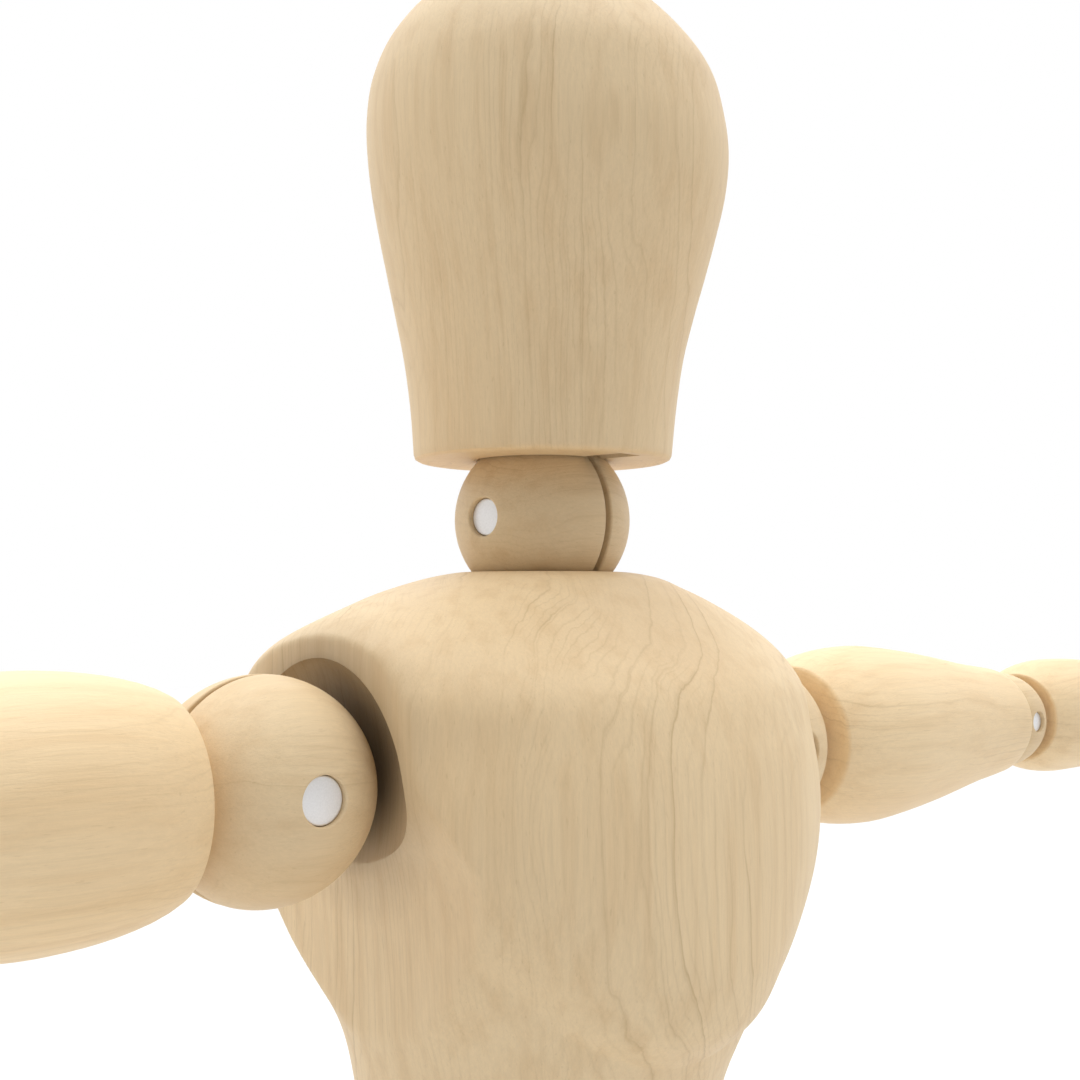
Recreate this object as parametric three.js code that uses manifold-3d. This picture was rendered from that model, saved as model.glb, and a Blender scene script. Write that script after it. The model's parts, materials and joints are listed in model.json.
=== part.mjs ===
// A jointed wooden artist's figure, arms held out level, on a round base with a steel support rod.
// Millimetres, +Z up. The figure faces -Y and its left hand points along +X. The origin is the middle of
// the base's underside. Every joint is a wooden ball between two cups, crossed by a steel pin that spring
// wires hook round, so that friction between ball and cups holds the pose.
import * as THREE from "three";
import { mergeVertices } from "three/addons/utils/BufferGeometryUtils.js";
import Module from "manifold-3d";

const wasm = await Module();
wasm.setup();

// ---- Driving dimensions ----------------------------------------------------------------------------
const BASE = { radius: 50, thickness: 14, edge: 4 };
const ROD = { radius: 2, socketDepth: 9, reach: 15, endGap: 0.3 }; // reach: how far it enters the pelvis
const FOOT_CLEARANCE = 12; // sole above the base, so that the toes can point down
const GAP = 0.35; // between a ball and the cup that holds it
const BORE_GAP = 0.12; // between a pin or the rod and its hole
const SLOT = 0.8; // width of the saw slot round each ball
const SLOT_FLOOR = 0.66; // what the slot leaves of a ball's radius
const WAY_HEIGHT = 1.1; // height of the way through a ball for the wires, as a share of its radius
const BORE = 1.8; // radius of the holes that the springs lie in
const WIRE = 0.3; // radius of the spring wire
const COIL = 1.3; // outer radius of the springs
const HOOK_SHIFT = 0.35; // the two wires on one pin lie side by side, this far from the ball's middle
const HOOK_ROOM = 2 * (HOOK_SHIFT + WIRE + 0.1); // width of the way through a ball for the wires
const LIMB_COILS = [0.25, 0.7]; // where a limb's spring is coiled, as shares of its length
const RIM_CUT = 0.35; // the bevel round a limb's ends
const EYE_GAP = 0.15; // between a wire's eye and its pin
const PIN_SHARE = 0.205; // pin radius as a share of its ball's radius
const PIN_RECESS = 0.45; // how far a pin's ends lie below the ball's surface

const ANKLE_HEIGHT = 13; // ankle centre above the sole
const SHIN_LENGTH = 61; // ankle centre to knee centre
const THIGH_LENGTH = 65; // knee centre to hip centre
const HIP_TO_WAIST = 32;
const WAIST_TO_SHOULDER = 42;
const SHOULDER_TO_NECK = 19.5;
const UPPER_ARM_LENGTH = 44.8; // shoulder centre to elbow centre
const FOREARM_LENGTH = 40; // elbow centre to wrist centre

const SOLE_Z = BASE.thickness + FOOT_CLEARANCE;
const ANKLE_Z = SOLE_Z + ANKLE_HEIGHT;
const KNEE_Z = ANKLE_Z + SHIN_LENGTH;
const HIP_Z = KNEE_Z + THIGH_LENGTH;
const WAIST_Z = HIP_Z + HIP_TO_WAIST;
const CROTCH_Z = HIP_Z - 4.5;
const ROD_TOP = CROTCH_Z + ROD.reach;
const SHOULDER_Z = WAIST_Z + WAIST_TO_SHOULDER;
const NECK_Z = SHOULDER_Z + SHOULDER_TO_NECK;
const HIP_X = 12.8;
const SHOULDER_X = 25.4;
const SHOULDER_Y = 1; // the shoulders lie a little behind the neck
const ELBOW_X = SHOULDER_X + UPPER_ARM_LENGTH;
const WRIST_X = ELBOW_X + FOREARM_LENGTH;
const NECK_TURN = THREE.MathUtils.degToRad(5); // the neck ball stands turned a little to the left

const RADIUS = { neck: 7, waist: 8.5, shoulder: 8, elbow: 5.2, wrist: 3.8, hip: 7.5, knee: 6, ankle: 4.4 };

const X_AXIS = new THREE.Vector3(1, 0, 0);
const Y_AXIS = new THREE.Vector3(0, 1, 0);
const Z_AXIS = new THREE.Vector3(0, 0, 1);

const WOOD = new THREE.MeshStandardMaterial({ color: 0xdec6a0, roughness: 0.5, metalness: 0 });
const STEEL = new THREE.MeshStandardMaterial({ color: 0xc9ccd0, roughness: 0.3, metalness: 1 });
const SPRING_STEEL = new THREE.MeshStandardMaterial({ color: 0x8f9398, roughness: 0.35, metalness: 1 });

// ---- Solids ----------------------------------------------------------------------------------------
function toSolid(geometry) {
  const bare = geometry.clone();
  bare.deleteAttribute("normal");
  bare.deleteAttribute("uv");
  const merged = mergeVertices(bare, 1e-4);
  const index = merged.index.array;
  const kept = [];
  for (let i = 0; i < index.length; i += 3) {
    const [a, b, c] = [index[i], index[i + 1], index[i + 2]];
    if (a !== b && b !== c && a !== c) kept.push(a, b, c);
  }
  const mesh = new wasm.Mesh({
    numProp: 3,
    vertProperties: new Float32Array(merged.attributes.position.array),
    triVerts: new Uint32Array(kept),
  });
  return new wasm.Manifold(mesh);
}

function toGeometry(solid) {
  const { vertProperties, triVerts } = solid.getMesh();
  const geometry = new THREE.BufferGeometry();
  geometry.setAttribute("position", new THREE.BufferAttribute(new Float32Array(vertProperties), 3));
  geometry.setIndex(new THREE.BufferAttribute(new Uint32Array(triVerts), 1));
  geometry.computeVertexNormals();
  return geometry;
}

function point(x, y, z) {
  return new THREE.Vector3(x, y, z);
}

// Turns a geometry made along +Y so that it lies along the given axis, then moves it.
function along(geometry, axis, centre = new THREE.Vector3()) {
  const turn = new THREE.Quaternion().setFromUnitVectors(Y_AXIS, axis.clone().normalize());
  return geometry.applyQuaternion(turn).translate(centre.x, centre.y, centre.z);
}

function cylinder(radius, from, to, segments = 8) {
  const axis = to.clone().sub(from);
  const middle = from.clone().add(to).multiplyScalar(0.5);
  return along(new THREE.CylinderGeometry(radius, radius, axis.length(), segments), axis, middle);
}

function sphere(radius, centre, segments = 16, rings = 12) {
  return new THREE.SphereGeometry(radius, segments, rings).translate(centre.x, centre.y, centre.z);
}

function cut(geometry, ...tools) {
  return toGeometry(tools.reduce((solid, tool) => solid.subtract(toSolid(tool)), toSolid(geometry)));
}

function join(...geometries) {
  return toGeometry(geometries.map(toSolid).reduce((sum, solid) => sum.add(solid)));
}

// Points on an arc of a circle round `centre`, angles in degrees from the profile's radius direction.
function arc(centre, radius, from, to, steps) {
  return Array.from({ length: steps + 1 }, (_, i) => {
    const angle = THREE.MathUtils.degToRad(from + ((to - from) * i) / steps);
    return new THREE.Vector2(centre.x + radius * Math.cos(angle), centre.y + radius * Math.sin(angle));
  });
}

// Smooth rows of numbers through a few stations; the first number of each row is the place along the axis.
function smoothRows(stations, count) {
  const places = stations.map((row) => row[0]);
  const curve = new THREE.CubicInterpolant(places, stations.flat(), stations[0].length, []);
  const [first, last] = [places[0], places.at(-1)];
  return Array.from({ length: count + 1 }, (_, i) => {
    // cosine spacing puts more rings near the ends, where the surface turns fastest
    const share = (1 - Math.cos((Math.PI * i) / count)) / 2;
    return Array.from(curve.evaluate(first + (last - first) * share));
  });
}

// A closed skin through superellipse rings. A row is [place, half width, front half depth, back half depth,
// exponent, shift of the ring's centre]; `place` puts a ring point into space.
function loft(rows, segments, place) {
  const positions = [];
  const index = [];
  const power = (value, exponent) => Math.sign(value) * Math.abs(value) ** exponent;
  for (const [at, width, front, back, exponent = 2, shift = 0] of rows) {
    for (let i = 0; i < segments; i++) {
      const angle = (2 * Math.PI * i) / segments;
      const across = width * power(Math.cos(angle), 2 / exponent);
      const depth = power(Math.sin(angle), 2 / exponent);
      positions.push(...place(at, across, depth * (depth < 0 ? front : back) + shift));
    }
  }
  for (const row of [rows[0], rows.at(-1)]) positions.push(...place(row[0], 0, row[5] ?? 0));
  const [start, end] = [rows.length * segments, rows.length * segments + 1];
  const last = (rows.length - 1) * segments;
  for (let i = 0; i < segments; i++) {
    const next = (i + 1) % segments;
    index.push(start, next, i, end, last + i, last + next);
    for (let k = 0; k < rows.length - 1; k++) {
      const [low, high] = [k * segments, (k + 1) * segments];
      index.push(low + i, low + next, high + next, low + i, high + next, high + i);
    }
  }
  const geometry = new THREE.BufferGeometry();
  geometry.setAttribute("position", new THREE.Float32BufferAttribute(positions, 3));
  geometry.setIndex(index);
  return geometry;
}

const standing = (z, x, y) => [x, y, z];
const pointingForward = (y, x, z) => [x, -y, z];

// ---- Repeated sub-parts ----------------------------------------------------------------------------
// A ball is turned about its pin's axis: two caps, a slot between them, a hole for the pin. The slot is
// shallow all round, and a way for the wires runs right through the ball from one limb to the other.
function ballGeometry(radius, pinAxis, limbAxis, centre, hasPin) {
  const hole = hasPin ? pinRadius(radius) + BORE_GAP : 0;
  const rim = THREE.MathUtils.radToDeg(Math.acos(hole / radius));
  const edge = THREE.MathUtils.radToDeg(Math.asin(SLOT / 2 / radius));
  const floor = radius * SLOT_FLOOR;
  const middle = new THREE.Vector2();
  const outline = [
    ...arc(middle, radius, -rim, -edge, 3),
    new THREE.Vector2(floor, -SLOT / 2),
    new THREE.Vector2(floor, SLOT / 2),
    ...arc(middle, radius, edge, rim, 3),
  ];
  if (hasPin) outline.push(outline[0].clone());
  else for (const pole of [outline[0], outline.at(-1)]) pole.x = 0;
  const turned = along(new THREE.LatheGeometry(outline, 12), pinAxis, centre);
  const way = new THREE.BoxGeometry(3 * radius, HOOK_ROOM, WAY_HEIGHT * radius);
  const lie = new THREE.Matrix4().makeBasis(limbAxis, pinAxis, limbAxis.clone().cross(pinAxis));
  return cut(turned, way.applyMatrix4(lie).translate(centre.x, centre.y, centre.z));
}

function pinRadius(ballRadius) {
  return ballRadius * PIN_SHARE;
}

function pinGeometry(ballRadius, axis, centre) {
  const half = Math.sqrt(ballRadius ** 2 - pinRadius(ballRadius) ** 2) - PIN_RECESS;
  const reach = axis.clone().multiplyScalar(half);
  return cylinder(pinRadius(ballRadius), centre.clone().sub(reach), centre.clone().add(reach));
}

// A limb is turned about its own axis from `start` to `end`, both ball centres: an outline through a few
// [distance, radius] stations, a cup for the ball at each end, and a bore for the spring.
function limbGeometry(start, end, stations, startBall, endBall) {
  const length = start.distanceTo(end);
  const [first, last] = [stations[0][0], stations.at(-1)[0]];
  const outer = smoothRows(stations, 5).map(([t, r]) => new THREE.Vector2(r, t));
  const firstCup = cupArc(0, startBall + GAP, first, 1);
  const lastCup = cupArc(length, endBall + GAP, length - last, -1);
  outer[0].y += RIM_CUT;
  outer.at(-1).y -= RIM_CUT;
  const outline = [
    ...firstCup,
    new THREE.Vector2(outer[0].x - RIM_CUT, first),
    ...outer,
    new THREE.Vector2(outer.at(-1).x - RIM_CUT, last),
    ...lastCup.reverse(),
    firstCup[0].clone(),
  ];
  return along(new THREE.LatheGeometry(outline, 14), end.clone().sub(start), start);
}

// The cup's outline, from the bore out to the limb's end face, for a ball centred at `centre` on the axis.
function cupArc(centre, radius, faceDistance, sign) {
  const inner = Math.asin(BORE / radius);
  const outer = Math.acos(faceDistance / radius);
  const steps = 2;
  return Array.from({ length: steps + 1 }, (_, i) => {
    const angle = inner + ((outer - inner) * i) / steps;
    return new THREE.Vector2(radius * Math.sin(angle), centre + sign * radius * Math.cos(angle));
  });
}

function eyeRadius(pin) {
  return pin + EYE_GAP + WIRE;
}

function eye(centre, pin, pinAxis) {
  const ring = new THREE.TorusGeometry(eyeRadius(pin), WIRE, 4, 7);
  const turn = new THREE.Quaternion().setFromUnitVectors(Z_AXIS, pinAxis);
  return ring.applyQuaternion(turn).translate(centre.x, centre.y, centre.z);
}

// A spring wire from one pin to the next: an eye at each end, straight legs, and close-wound coils over the
// given shares of the way. Its first eye lies on the pin axis's side of its ball's middle, and its last one
// on the other side, unless `lastSide` is 1.
function springGeometry(from, to, fromPin, toPin, pinAxis, coils, lastSide = -1) {
  const start = from.clone().addScaledVector(pinAxis, HOOK_SHIFT);
  const end = to.clone().addScaledVector(pinAxis, lastSide * HOOK_SHIFT);
  const way = end.clone().sub(start).normalize();
  const at = (share) => start.clone().lerp(end, share);
  const legs = cylinder(
    WIRE,
    start.clone().addScaledVector(way, eyeRadius(fromPin)),
    end.clone().addScaledVector(way, -eyeRadius(toPin)),
    4,
  );
  const bodies = coils.map(([a, b]) => cylinder(COIL, at(a), at(b), 6));
  return join(legs, eye(start, fromPin, pinAxis), eye(end, toPin, pinAxis), ...bodies);
}

const figure = new THREE.Group();

function place(name, geometry, material) {
  const mesh = new THREE.Mesh(geometry, material);
  mesh.name = name;
  figure.add(mesh);
}

function addBall(name, radius, pinAxis, limbAxis, centre, hasPin = true) {
  place(`${name}_ball${sideOf(centre)}`, ballGeometry(radius, pinAxis, limbAxis, centre, hasPin), WOOD);
  if (hasPin) place(`${name}_pin${sideOf(centre)}`, pinGeometry(radius, pinAxis, centre), STEEL);
}

function sideOf(centre) {
  if (Math.abs(centre.x) < 1e-9) return "";
  return centre.x > 0 ? "_left" : "_right";
}

// ---- Stand -----------------------------------------------------------------------------------------
function addStand() {
  const { radius, thickness, edge } = BASE;
  const outline = [
    new THREE.Vector2(0, 0),
    new THREE.Vector2(radius - 1, 0),
    new THREE.Vector2(radius, 1),
    ...arc(new THREE.Vector2(radius - edge, thickness - edge), edge, 0, 90, 3),
    new THREE.Vector2(0, thickness),
  ];
  const disc = along(new THREE.LatheGeometry(outline, 28), Z_AXIS);
  const hollow = point(0, 0, thickness - ROD.socketDepth);
  const socket = cylinder(ROD.radius + BORE_GAP, hollow, point(0, 0, thickness + 1), 12);
  place("base", cut(disc, socket), WOOD);
  const foot = hollow.clone().setZ(hollow.z + ROD.endGap);
  place("support_rod", cylinder(ROD.radius, foot, point(0, 0, ROD_TOP), 12), STEEL);
}

// ---- Trunk and head --------------------------------------------------------------------------------
// Pelvis stations: height above its underside, half width, front depth, back depth, exponent.
const PELVIS_BOTTOM = HIP_Z + 2.5;
const PELVIS = [
  [0, 19.0, 10.4, 10.8, 2.3],
  [1.4, 20.3, 11.8, 12.4, 2.3],
  [5, 20.9, 12.8, 13.6, 2.3],
  [10, 19.8, 13.0, 13.6, 2.2],
  [17, 16.8, 12.2, 12.2, 2.1],
  [24, 14.2, 11.0, 10.8, 2],
  [25, 13.4, 10.2, 10.0, 2],
];
const CROTCH = [
  [-7, 3.4, 5, 5, 2.4],
  [-5.8, 4.2, 6.4, 6.4, 2.4],
  [0.5, 4.4, 9.6, 9.6, 2.4],
];

function addPelvis() {
  const block = loft(smoothRows(PELVIS, 6), 16, standing).translate(0, 0, PELVIS_BOTTOM);
  const crotch = loft(CROTCH, 12, standing).translate(0, 0, PELVIS_BOTTOM);
  const waist = point(0, 0, WAIST_Z);
  const junction = point(0, 0, WAIST_Z - 15); // where the two hip wires meet the spring from the waist
  const hips = [-1, 1].map((side) => point(side * HIP_X, 0, HIP_Z));
  const bendZ = HIP_Z + RADIUS.hip + 2;
  const channelRadius = 1.1;
  const channels = hips.flatMap((hip) => {
    const bend = hip.clone().setZ(bendZ);
    return [
      sphere(RADIUS.hip + GAP, hip),
      cylinder(channelRadius, hip, bend, 6),
      sphere(channelRadius, bend, 6, 4),
      cylinder(channelRadius, bend, junction, 6),
    ];
  });
  place(
    "pelvis",
    cut(
      join(block, crotch),
      ...channels,
      sphere(RADIUS.waist + GAP, waist),
      cylinder(BORE, junction.clone().setZ(junction.z - BORE), waist, 10),
      cylinder(ROD.radius + BORE_GAP, point(0, 0, CROTCH_Z - 1), point(0, 0, ROD_TOP + ROD.endGap), 12),
    ),
    WOOD,
  );
  place(
    "pelvis_spring",
    springGeometry(junction, waist, WIRE, pinRadius(RADIUS.waist), X_AXIS, [[0.15, 0.32]]),
    SPRING_STEEL,
  );
  for (const hip of hips) {
    const hook = hip.clone().addScaledVector(X_AXIS, -HOOK_SHIFT);
    const bend = hook.clone().setZ(bendZ);
    const wire = join(
      eye(hook, pinRadius(RADIUS.hip), X_AXIS),
      cylinder(WIRE, hook.clone().setZ(HIP_Z + eyeRadius(pinRadius(RADIUS.hip))), bend, 5),
      sphere(WIRE, bend, 6, 4),
      cylinder(WIRE, bend, junction.clone().lerp(bend, 0.2), 5),
    );
    place(`hip_wire${sideOf(hip)}`, wire, SPRING_STEEL);
  }
}

// Chest and abdomen stations: height above the shoulder line, half width, front depth, back depth, exponent,
// shift. The chest is the larger shape in front: its lower edge stands proud of the abdomen like a shield.
const CHEST = [
  [-20.6, 9.7, 15.1, 9.0, 2.1, 0.5],
  [-18.0, 13.0, 18.5, 11.0, 2.1, 0.5],
  [-14.0, 17.0, 20.2, 13.0, 2.1, 0.5],
  [-9.0, 21.6, 20.4, 15.4, 2.15, 0.5],
  [-3.0, 23.7, 20.4, 17.8, 2.15, 0.5],
  [3.0, 23.2, 19.6, 19.7, 2.15, 0.5],
  [7.0, 23.1, 17.9, 21.0, 2.15, 0.5],
  [10.1, 21.2, 14.8, 17.0, 2.1, 0.5],
  [12.4, 17.3, 12.5, 11.8, 2.0, 0.5],
  [14.0, 12.6, 10.9, 10.0, 2.0, 0.5],
  [15.3, 7.6, 7.9, 6.6, 2.0, 0.2],
];
const ABDOMEN = [
  [-36.0, 12.8, 10.2, 9.5, 2.0, 0.5],
  [-35.0, 13.7, 11.1, 10.4, 2.0, 0.5],
  [-30.0, 14.6, 12.7, 11.3, 2.0, 0.5],
  [-24.0, 14.9, 14.1, 12.5, 2.1, 0.5],
  [-18.0, 16.7, 16.8, 13.5, 2.1, 0.5],
  [-12.0, 20.7, 17.4, 16.5, 2.2, 0.5],
  [-6.0, 25.0, 16.5, 17.5, 2.3, 0.5],
  [0.0, 24.6, 15.6, 17.5, 2.3, 0.5],
  [6.0, 21.8, 13.6, 16.2, 2.2, 0.5],
];
// The flat side faces, as an outline of how far out they stand at each height above the shoulder line.
const SIDE_FACE = [
  [-37, 16.3],
  [-10, 17.1],
  [-6, 17.7],
  [-3, 19.0],
  [1, 20.5],
  [16, 20.5],
];
const SIDE_REACH = 30; // how far beyond the shoulders the cutters for the side faces go
// The arm sockets are flattened bowls, wider than their balls, which rest on the bowls' bottoms.
const DISH_RADIUS = 9.8;
const DISH_DROP = 0.7; // the bowl's middle below its ball's
const DISH_WIDEST_X = 21.3; // just outside the side face
const DISH_DEPTH = DISH_WIDEST_X - (SHOULDER_X - RADIUS.shoulder - GAP);

// The cutter for one side face, right through from front to back.
function sideCutter(side) {
  const outline = new THREE.Shape([
    ...SIDE_FACE.map(([z, x]) => new THREE.Vector2(side * x, z)),
    new THREE.Vector2(side * (SHOULDER_X + SIDE_REACH), SIDE_FACE.at(-1)[0]),
    new THREE.Vector2(side * (SHOULDER_X + SIDE_REACH), SIDE_FACE[0][0]),
  ]);
  const depth = 2 * SIDE_REACH;
  const block = new THREE.ExtrudeGeometry(outline, { depth, bevelEnabled: false });
  return block.translate(0, 0, -depth / 2).rotateX(Math.PI / 2).translate(0, 0, SHOULDER_Z);
}

function addTorso() {
  const raise = ([z, ...rest]) => [z + SHOULDER_Z, ...rest];
  const chest = loft(smoothRows(CHEST.map(raise), 9), 20, standing);
  const abdomen = loft(smoothRows(ABDOMEN.map(raise), 5), 16, standing);
  const shoulders = [-1, 1].map((side) => point(side * SHOULDER_X, SHOULDER_Y, SHOULDER_Z));
  const neck = point(0, 0, NECK_Z);
  const waist = point(0, 0, WAIST_Z);
  const tools = shoulders.flatMap((shoulder) => {
    const side = Math.sign(shoulder.x);
    const bowl = new THREE.SphereGeometry(DISH_RADIUS, 20, 14).scale(1, DISH_DEPTH / DISH_RADIUS, 1);
    const middle = point(side * DISH_WIDEST_X, SHOULDER_Y, SHOULDER_Z - DISH_DROP);
    return [sideCutter(side), along(bowl, X_AXIS, middle)];
  });
  place(
    "torso",
    cut(
      join(chest, abdomen),
      ...tools,
      cylinder(BORE, shoulders[0], shoulders[1], 10),
      sphere(RADIUS.neck + GAP, neck),
      sphere(RADIUS.waist + GAP, waist),
      cylinder(BORE, neck, waist, 10),
    ),
    WOOD,
  );
  place(
    "shoulder_spring",
    springGeometry(
      shoulders[0],
      shoulders[1],
      pinRadius(RADIUS.shoulder),
      pinRadius(RADIUS.shoulder),
      Y_AXIS,
      [
        [0.18, 0.42],
        [0.58, 0.82],
      ],
      1,
    ),
    SPRING_STEEL,
  );
  place(
    "torso_spring",
    springGeometry(waist, neck, pinRadius(RADIUS.waist), pinRadius(RADIUS.neck), X_AXIS, [[0.18, 0.52]]),
    SPRING_STEEL,
  );
}

// Head stations: height above the neck centre, half width, front depth, back depth.
const HEAD = [
  [4.7, 9.5, 9.7, 9.6],
  [5.5, 10.2, 10.4, 10.3],
  [9.5, 10.6, 11.0, 10.7],
  [16.0, 11.7, 12.5, 11.8],
  [22.4, 13.1, 14.6, 13.0],
  [28.7, 14.1, 15.6, 13.9],
  [33.0, 14.0, 14.8, 14.2],
  [37.5, 12.6, 12.4, 13.3],
  [41.5, 9.7, 8.8, 10.6],
  [44.3, 5.8, 5.2, 6.4],
  [45.3, 3.3, 3.0, 3.6],
  [45.7, 1.2, 1.2, 1.2],
];

function addHead() {
  const neck = point(0, 0, NECK_Z);
  const raise = ([z, ...rest]) => [z + NECK_Z, ...rest];
  const skull = loft(smoothRows(HEAD.map(raise), 9), 16, standing);
  // a slot at the front of the cup gives the wire room when the head nods
  const slot = new THREE.BoxGeometry(2.6, 9, 5).translate(0, -4.6, NECK_Z + 6.2);
  const bore = 1;
  place(
    "head",
    cut(
      skull,
      sphere(RADIUS.neck + GAP, neck),
      slot.applyMatrix4(new THREE.Matrix4().makeRotationZ(NECK_TURN)),
      cylinder(bore, neck, point(0, 0, NECK_Z + 22), 8),
    ),
    WOOD,
  );
  const hook = neck.clone().addScaledVector(neckPinAxis(), HOOK_SHIFT);
  const stemFoot = hook.clone().setZ(NECK_Z + eyeRadius(pinRadius(RADIUS.neck)));
  const shank = cylinder(0.7, point(0, 0, NECK_Z + RADIUS.neck + 1), point(0, 0, NECK_Z + 21), 8);
  const stem = cylinder(WIRE, stemFoot, hook.clone().setZ(NECK_Z + RADIUS.neck + 2), 6);
  place("head_screw_eye", join(shank, stem, eye(hook, pinRadius(RADIUS.neck), neckPinAxis())), STEEL);
}

function neckPinAxis() {
  return X_AXIS.clone().applyAxisAngle(Z_AXIS, NECK_TURN);
}

function addTrunkBalls() {
  addBall("neck", RADIUS.neck, neckPinAxis(), Z_AXIS, point(0, 0, NECK_Z));
  addBall("waist", RADIUS.waist, X_AXIS, Z_AXIS, point(0, 0, WAIST_Z));
}

// ---- Arms ------------------------------------------------------------------------------------------
// Stations are [distance from the limb's upper ball centre, radius].
const UPPER_ARM = [
  [7.5, 7.0],
  [11, 8.1],
  [17.6, 8.7],
  [26, 7.9],
  [34, 6.8],
  [42.8, 5.5],
];
const FOREARM = [
  [4.15, 4.95],
  [7, 6.1],
  [12.8, 6.45],
  [20, 6.05],
  [29, 5.05],
  [38.4, 4.5],
];

function addArm(side) {
  const at = (x) => point(side * x, SHOULDER_Y, SHOULDER_Z);
  const [shoulder, elbow, wrist] = [at(SHOULDER_X), at(ELBOW_X), at(WRIST_X)];
  const label = sideOf(shoulder);
  const outward = X_AXIS.clone().multiplyScalar(side);
  const forward = Y_AXIS.clone().negate();
  addBall("shoulder", RADIUS.shoulder, Y_AXIS, X_AXIS, shoulder);
  addBall("elbow", RADIUS.elbow, Y_AXIS, X_AXIS, elbow);
  addBall("wrist", RADIUS.wrist, Y_AXIS, X_AXIS, wrist, false);
  place(`upper_arm${label}`, limbGeometry(shoulder, elbow, UPPER_ARM, RADIUS.shoulder, RADIUS.elbow), WOOD);
  place(`forearm${label}`, limbGeometry(elbow, wrist, FOREARM, RADIUS.elbow, RADIUS.wrist), WOOD);
  const handPin = wrist.clone().addScaledVector(outward, HAND_PIN_AT);
  const [shoulderPin, elbowPin] = [pinRadius(RADIUS.shoulder), pinRadius(RADIUS.elbow)];
  place(
    `upper_arm_spring${label}`,
    springGeometry(shoulder, elbow, shoulderPin, elbowPin, forward, [LIMB_COILS]),
    SPRING_STEEL,
  );
  place(
    `forearm_spring${label}`,
    springGeometry(elbow, handPin, elbowPin, HAND_PIN_RADIUS, forward, [LIMB_COILS]),
    SPRING_STEEL,
  );
  addHand(side, wrist, handPin);
}

const HAND_PIN_AT = 7;
const HAND_PIN_RADIUS = 0.8;
// Hand stations: distance from the wrist centre, half width, half thickness below and above, exponent, drop.
const HAND = [
  [2.7, 4.0, 3.7, 3.7, 2.1, 0],
  [6, 4.9, 3.5, 3.5, 2.3, 0],
  [13, 6.7, 3.4, 3.2, 2.4, -0.1],
  [19, 6.5, 2.9, 2.8, 2.4, -0.5],
  [26, 5.4, 2.3, 2.3, 2.4, -1.4],
  [31, 4.0, 1.8, 1.8, 2.3, -2.3],
  [33.5, 1.6, 0.9, 0.9, 2.2, -2.9],
];
// Thumb stations: the same, without the last two.
const THUMB = [
  [7, 1.2, 1.2, 1.2],
  [9, 2.3, 2.1, 2.1],
  [14, 2.2, 1.9, 1.9],
  [18.5, 1.7, 1.5, 1.5],
  [20, 0.7, 0.7, 0.7],
];

function addHand(side, wrist, handPin) {
  const palm = loft(smoothRows(HAND, 6), 12, (t, y, z) => [side * t, side * y, z]);
  const thumbLine = (t) => -1.2 - 0.42 * t; // the thumb leaves the palm's front edge
  const thumb = loft(smoothRows(THUMB, 4), 8, (t, y, z) => [side * t, side * y + thumbLine(t), z - 0.8]);
  const hand = join(palm, thumb).translate(wrist.x, wrist.y, wrist.z);
  const outward = X_AXIS.clone().multiplyScalar(side);
  cutAndPin("hand", hand, wrist, handPin, outward, Y_AXIS, {
    ball: RADIUS.wrist,
    pin: HAND_PIN_RADIUS,
    halfPin: 4.4,
  });
}

// A hand or a foot: a cup for its ball, a well that the wire comes down, and a pin across that holds it.
function cutAndPin(name, geometry, ballCentre, pinCentre, wireWay, pinAxis, { ball, pin, halfPin }) {
  const across = (half) => [-half, half].map((shift) => pinCentre.clone().addScaledVector(pinAxis, shift));
  const wellFloor = pinCentre.clone().addScaledVector(wireWay, pin + 1.2);
  const cup = sphere(ball + GAP, ballCentre, 12, 10);
  const well = cylinder(2.1, ballCentre, wellFloor);
  const hole = cylinder(pin + BORE_GAP, ...across(12));
  place(`${name}${sideOf(ballCentre)}`, cut(geometry, cup, well, hole), WOOD);
  place(`${name}_pin${sideOf(ballCentre)}`, cylinder(pin, ...across(halfPin)), STEEL);
}

// ---- Legs ------------------------------------------------------------------------------------------
const THIGH = [
  [7.0, 7.9],
  [11, 9.0],
  [20, 9.7],
  [34, 9.0],
  [50, 7.4],
  [61.8, 6.2],
];
const SHIN = [
  [4.8, 5.2],
  [9, 6.8],
  [18, 7.9],
  [30, 7.0],
  [46, 5.3],
  [59.0, 5.0],
];
const FOOT_PIN_DROP = 7.4; // foot pin below the ankle centre
const FOOT_PIN_RADIUS = 0.9;
// Foot stations: distance in front of the ankle, half width, depth below and above the shift, exponent,
// shift.
const FOOT = [
  [-9.6, 2.6, 2.2, 2.0, 2.4, 2.4],
  [-8.6, 4.4, 3.2, 4.0, 2.6, 3.3],
  [-5, 5.9, 3.7, 6.2, 2.8, 3.7],
  [0, 6.4, 3.7, 6.6, 2.8, 3.7],
  [7, 6.9, 3.2, 5.2, 2.8, 3.2],
  [15, 7.6, 2.6, 3.6, 2.8, 2.6],
  [22, 7.4, 2.2, 2.6, 2.7, 2.2],
  [27, 5.8, 1.9, 1.9, 2.5, 1.9],
  [29.4, 2.6, 1.4, 1.2, 2.3, 1.6],
];

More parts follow.
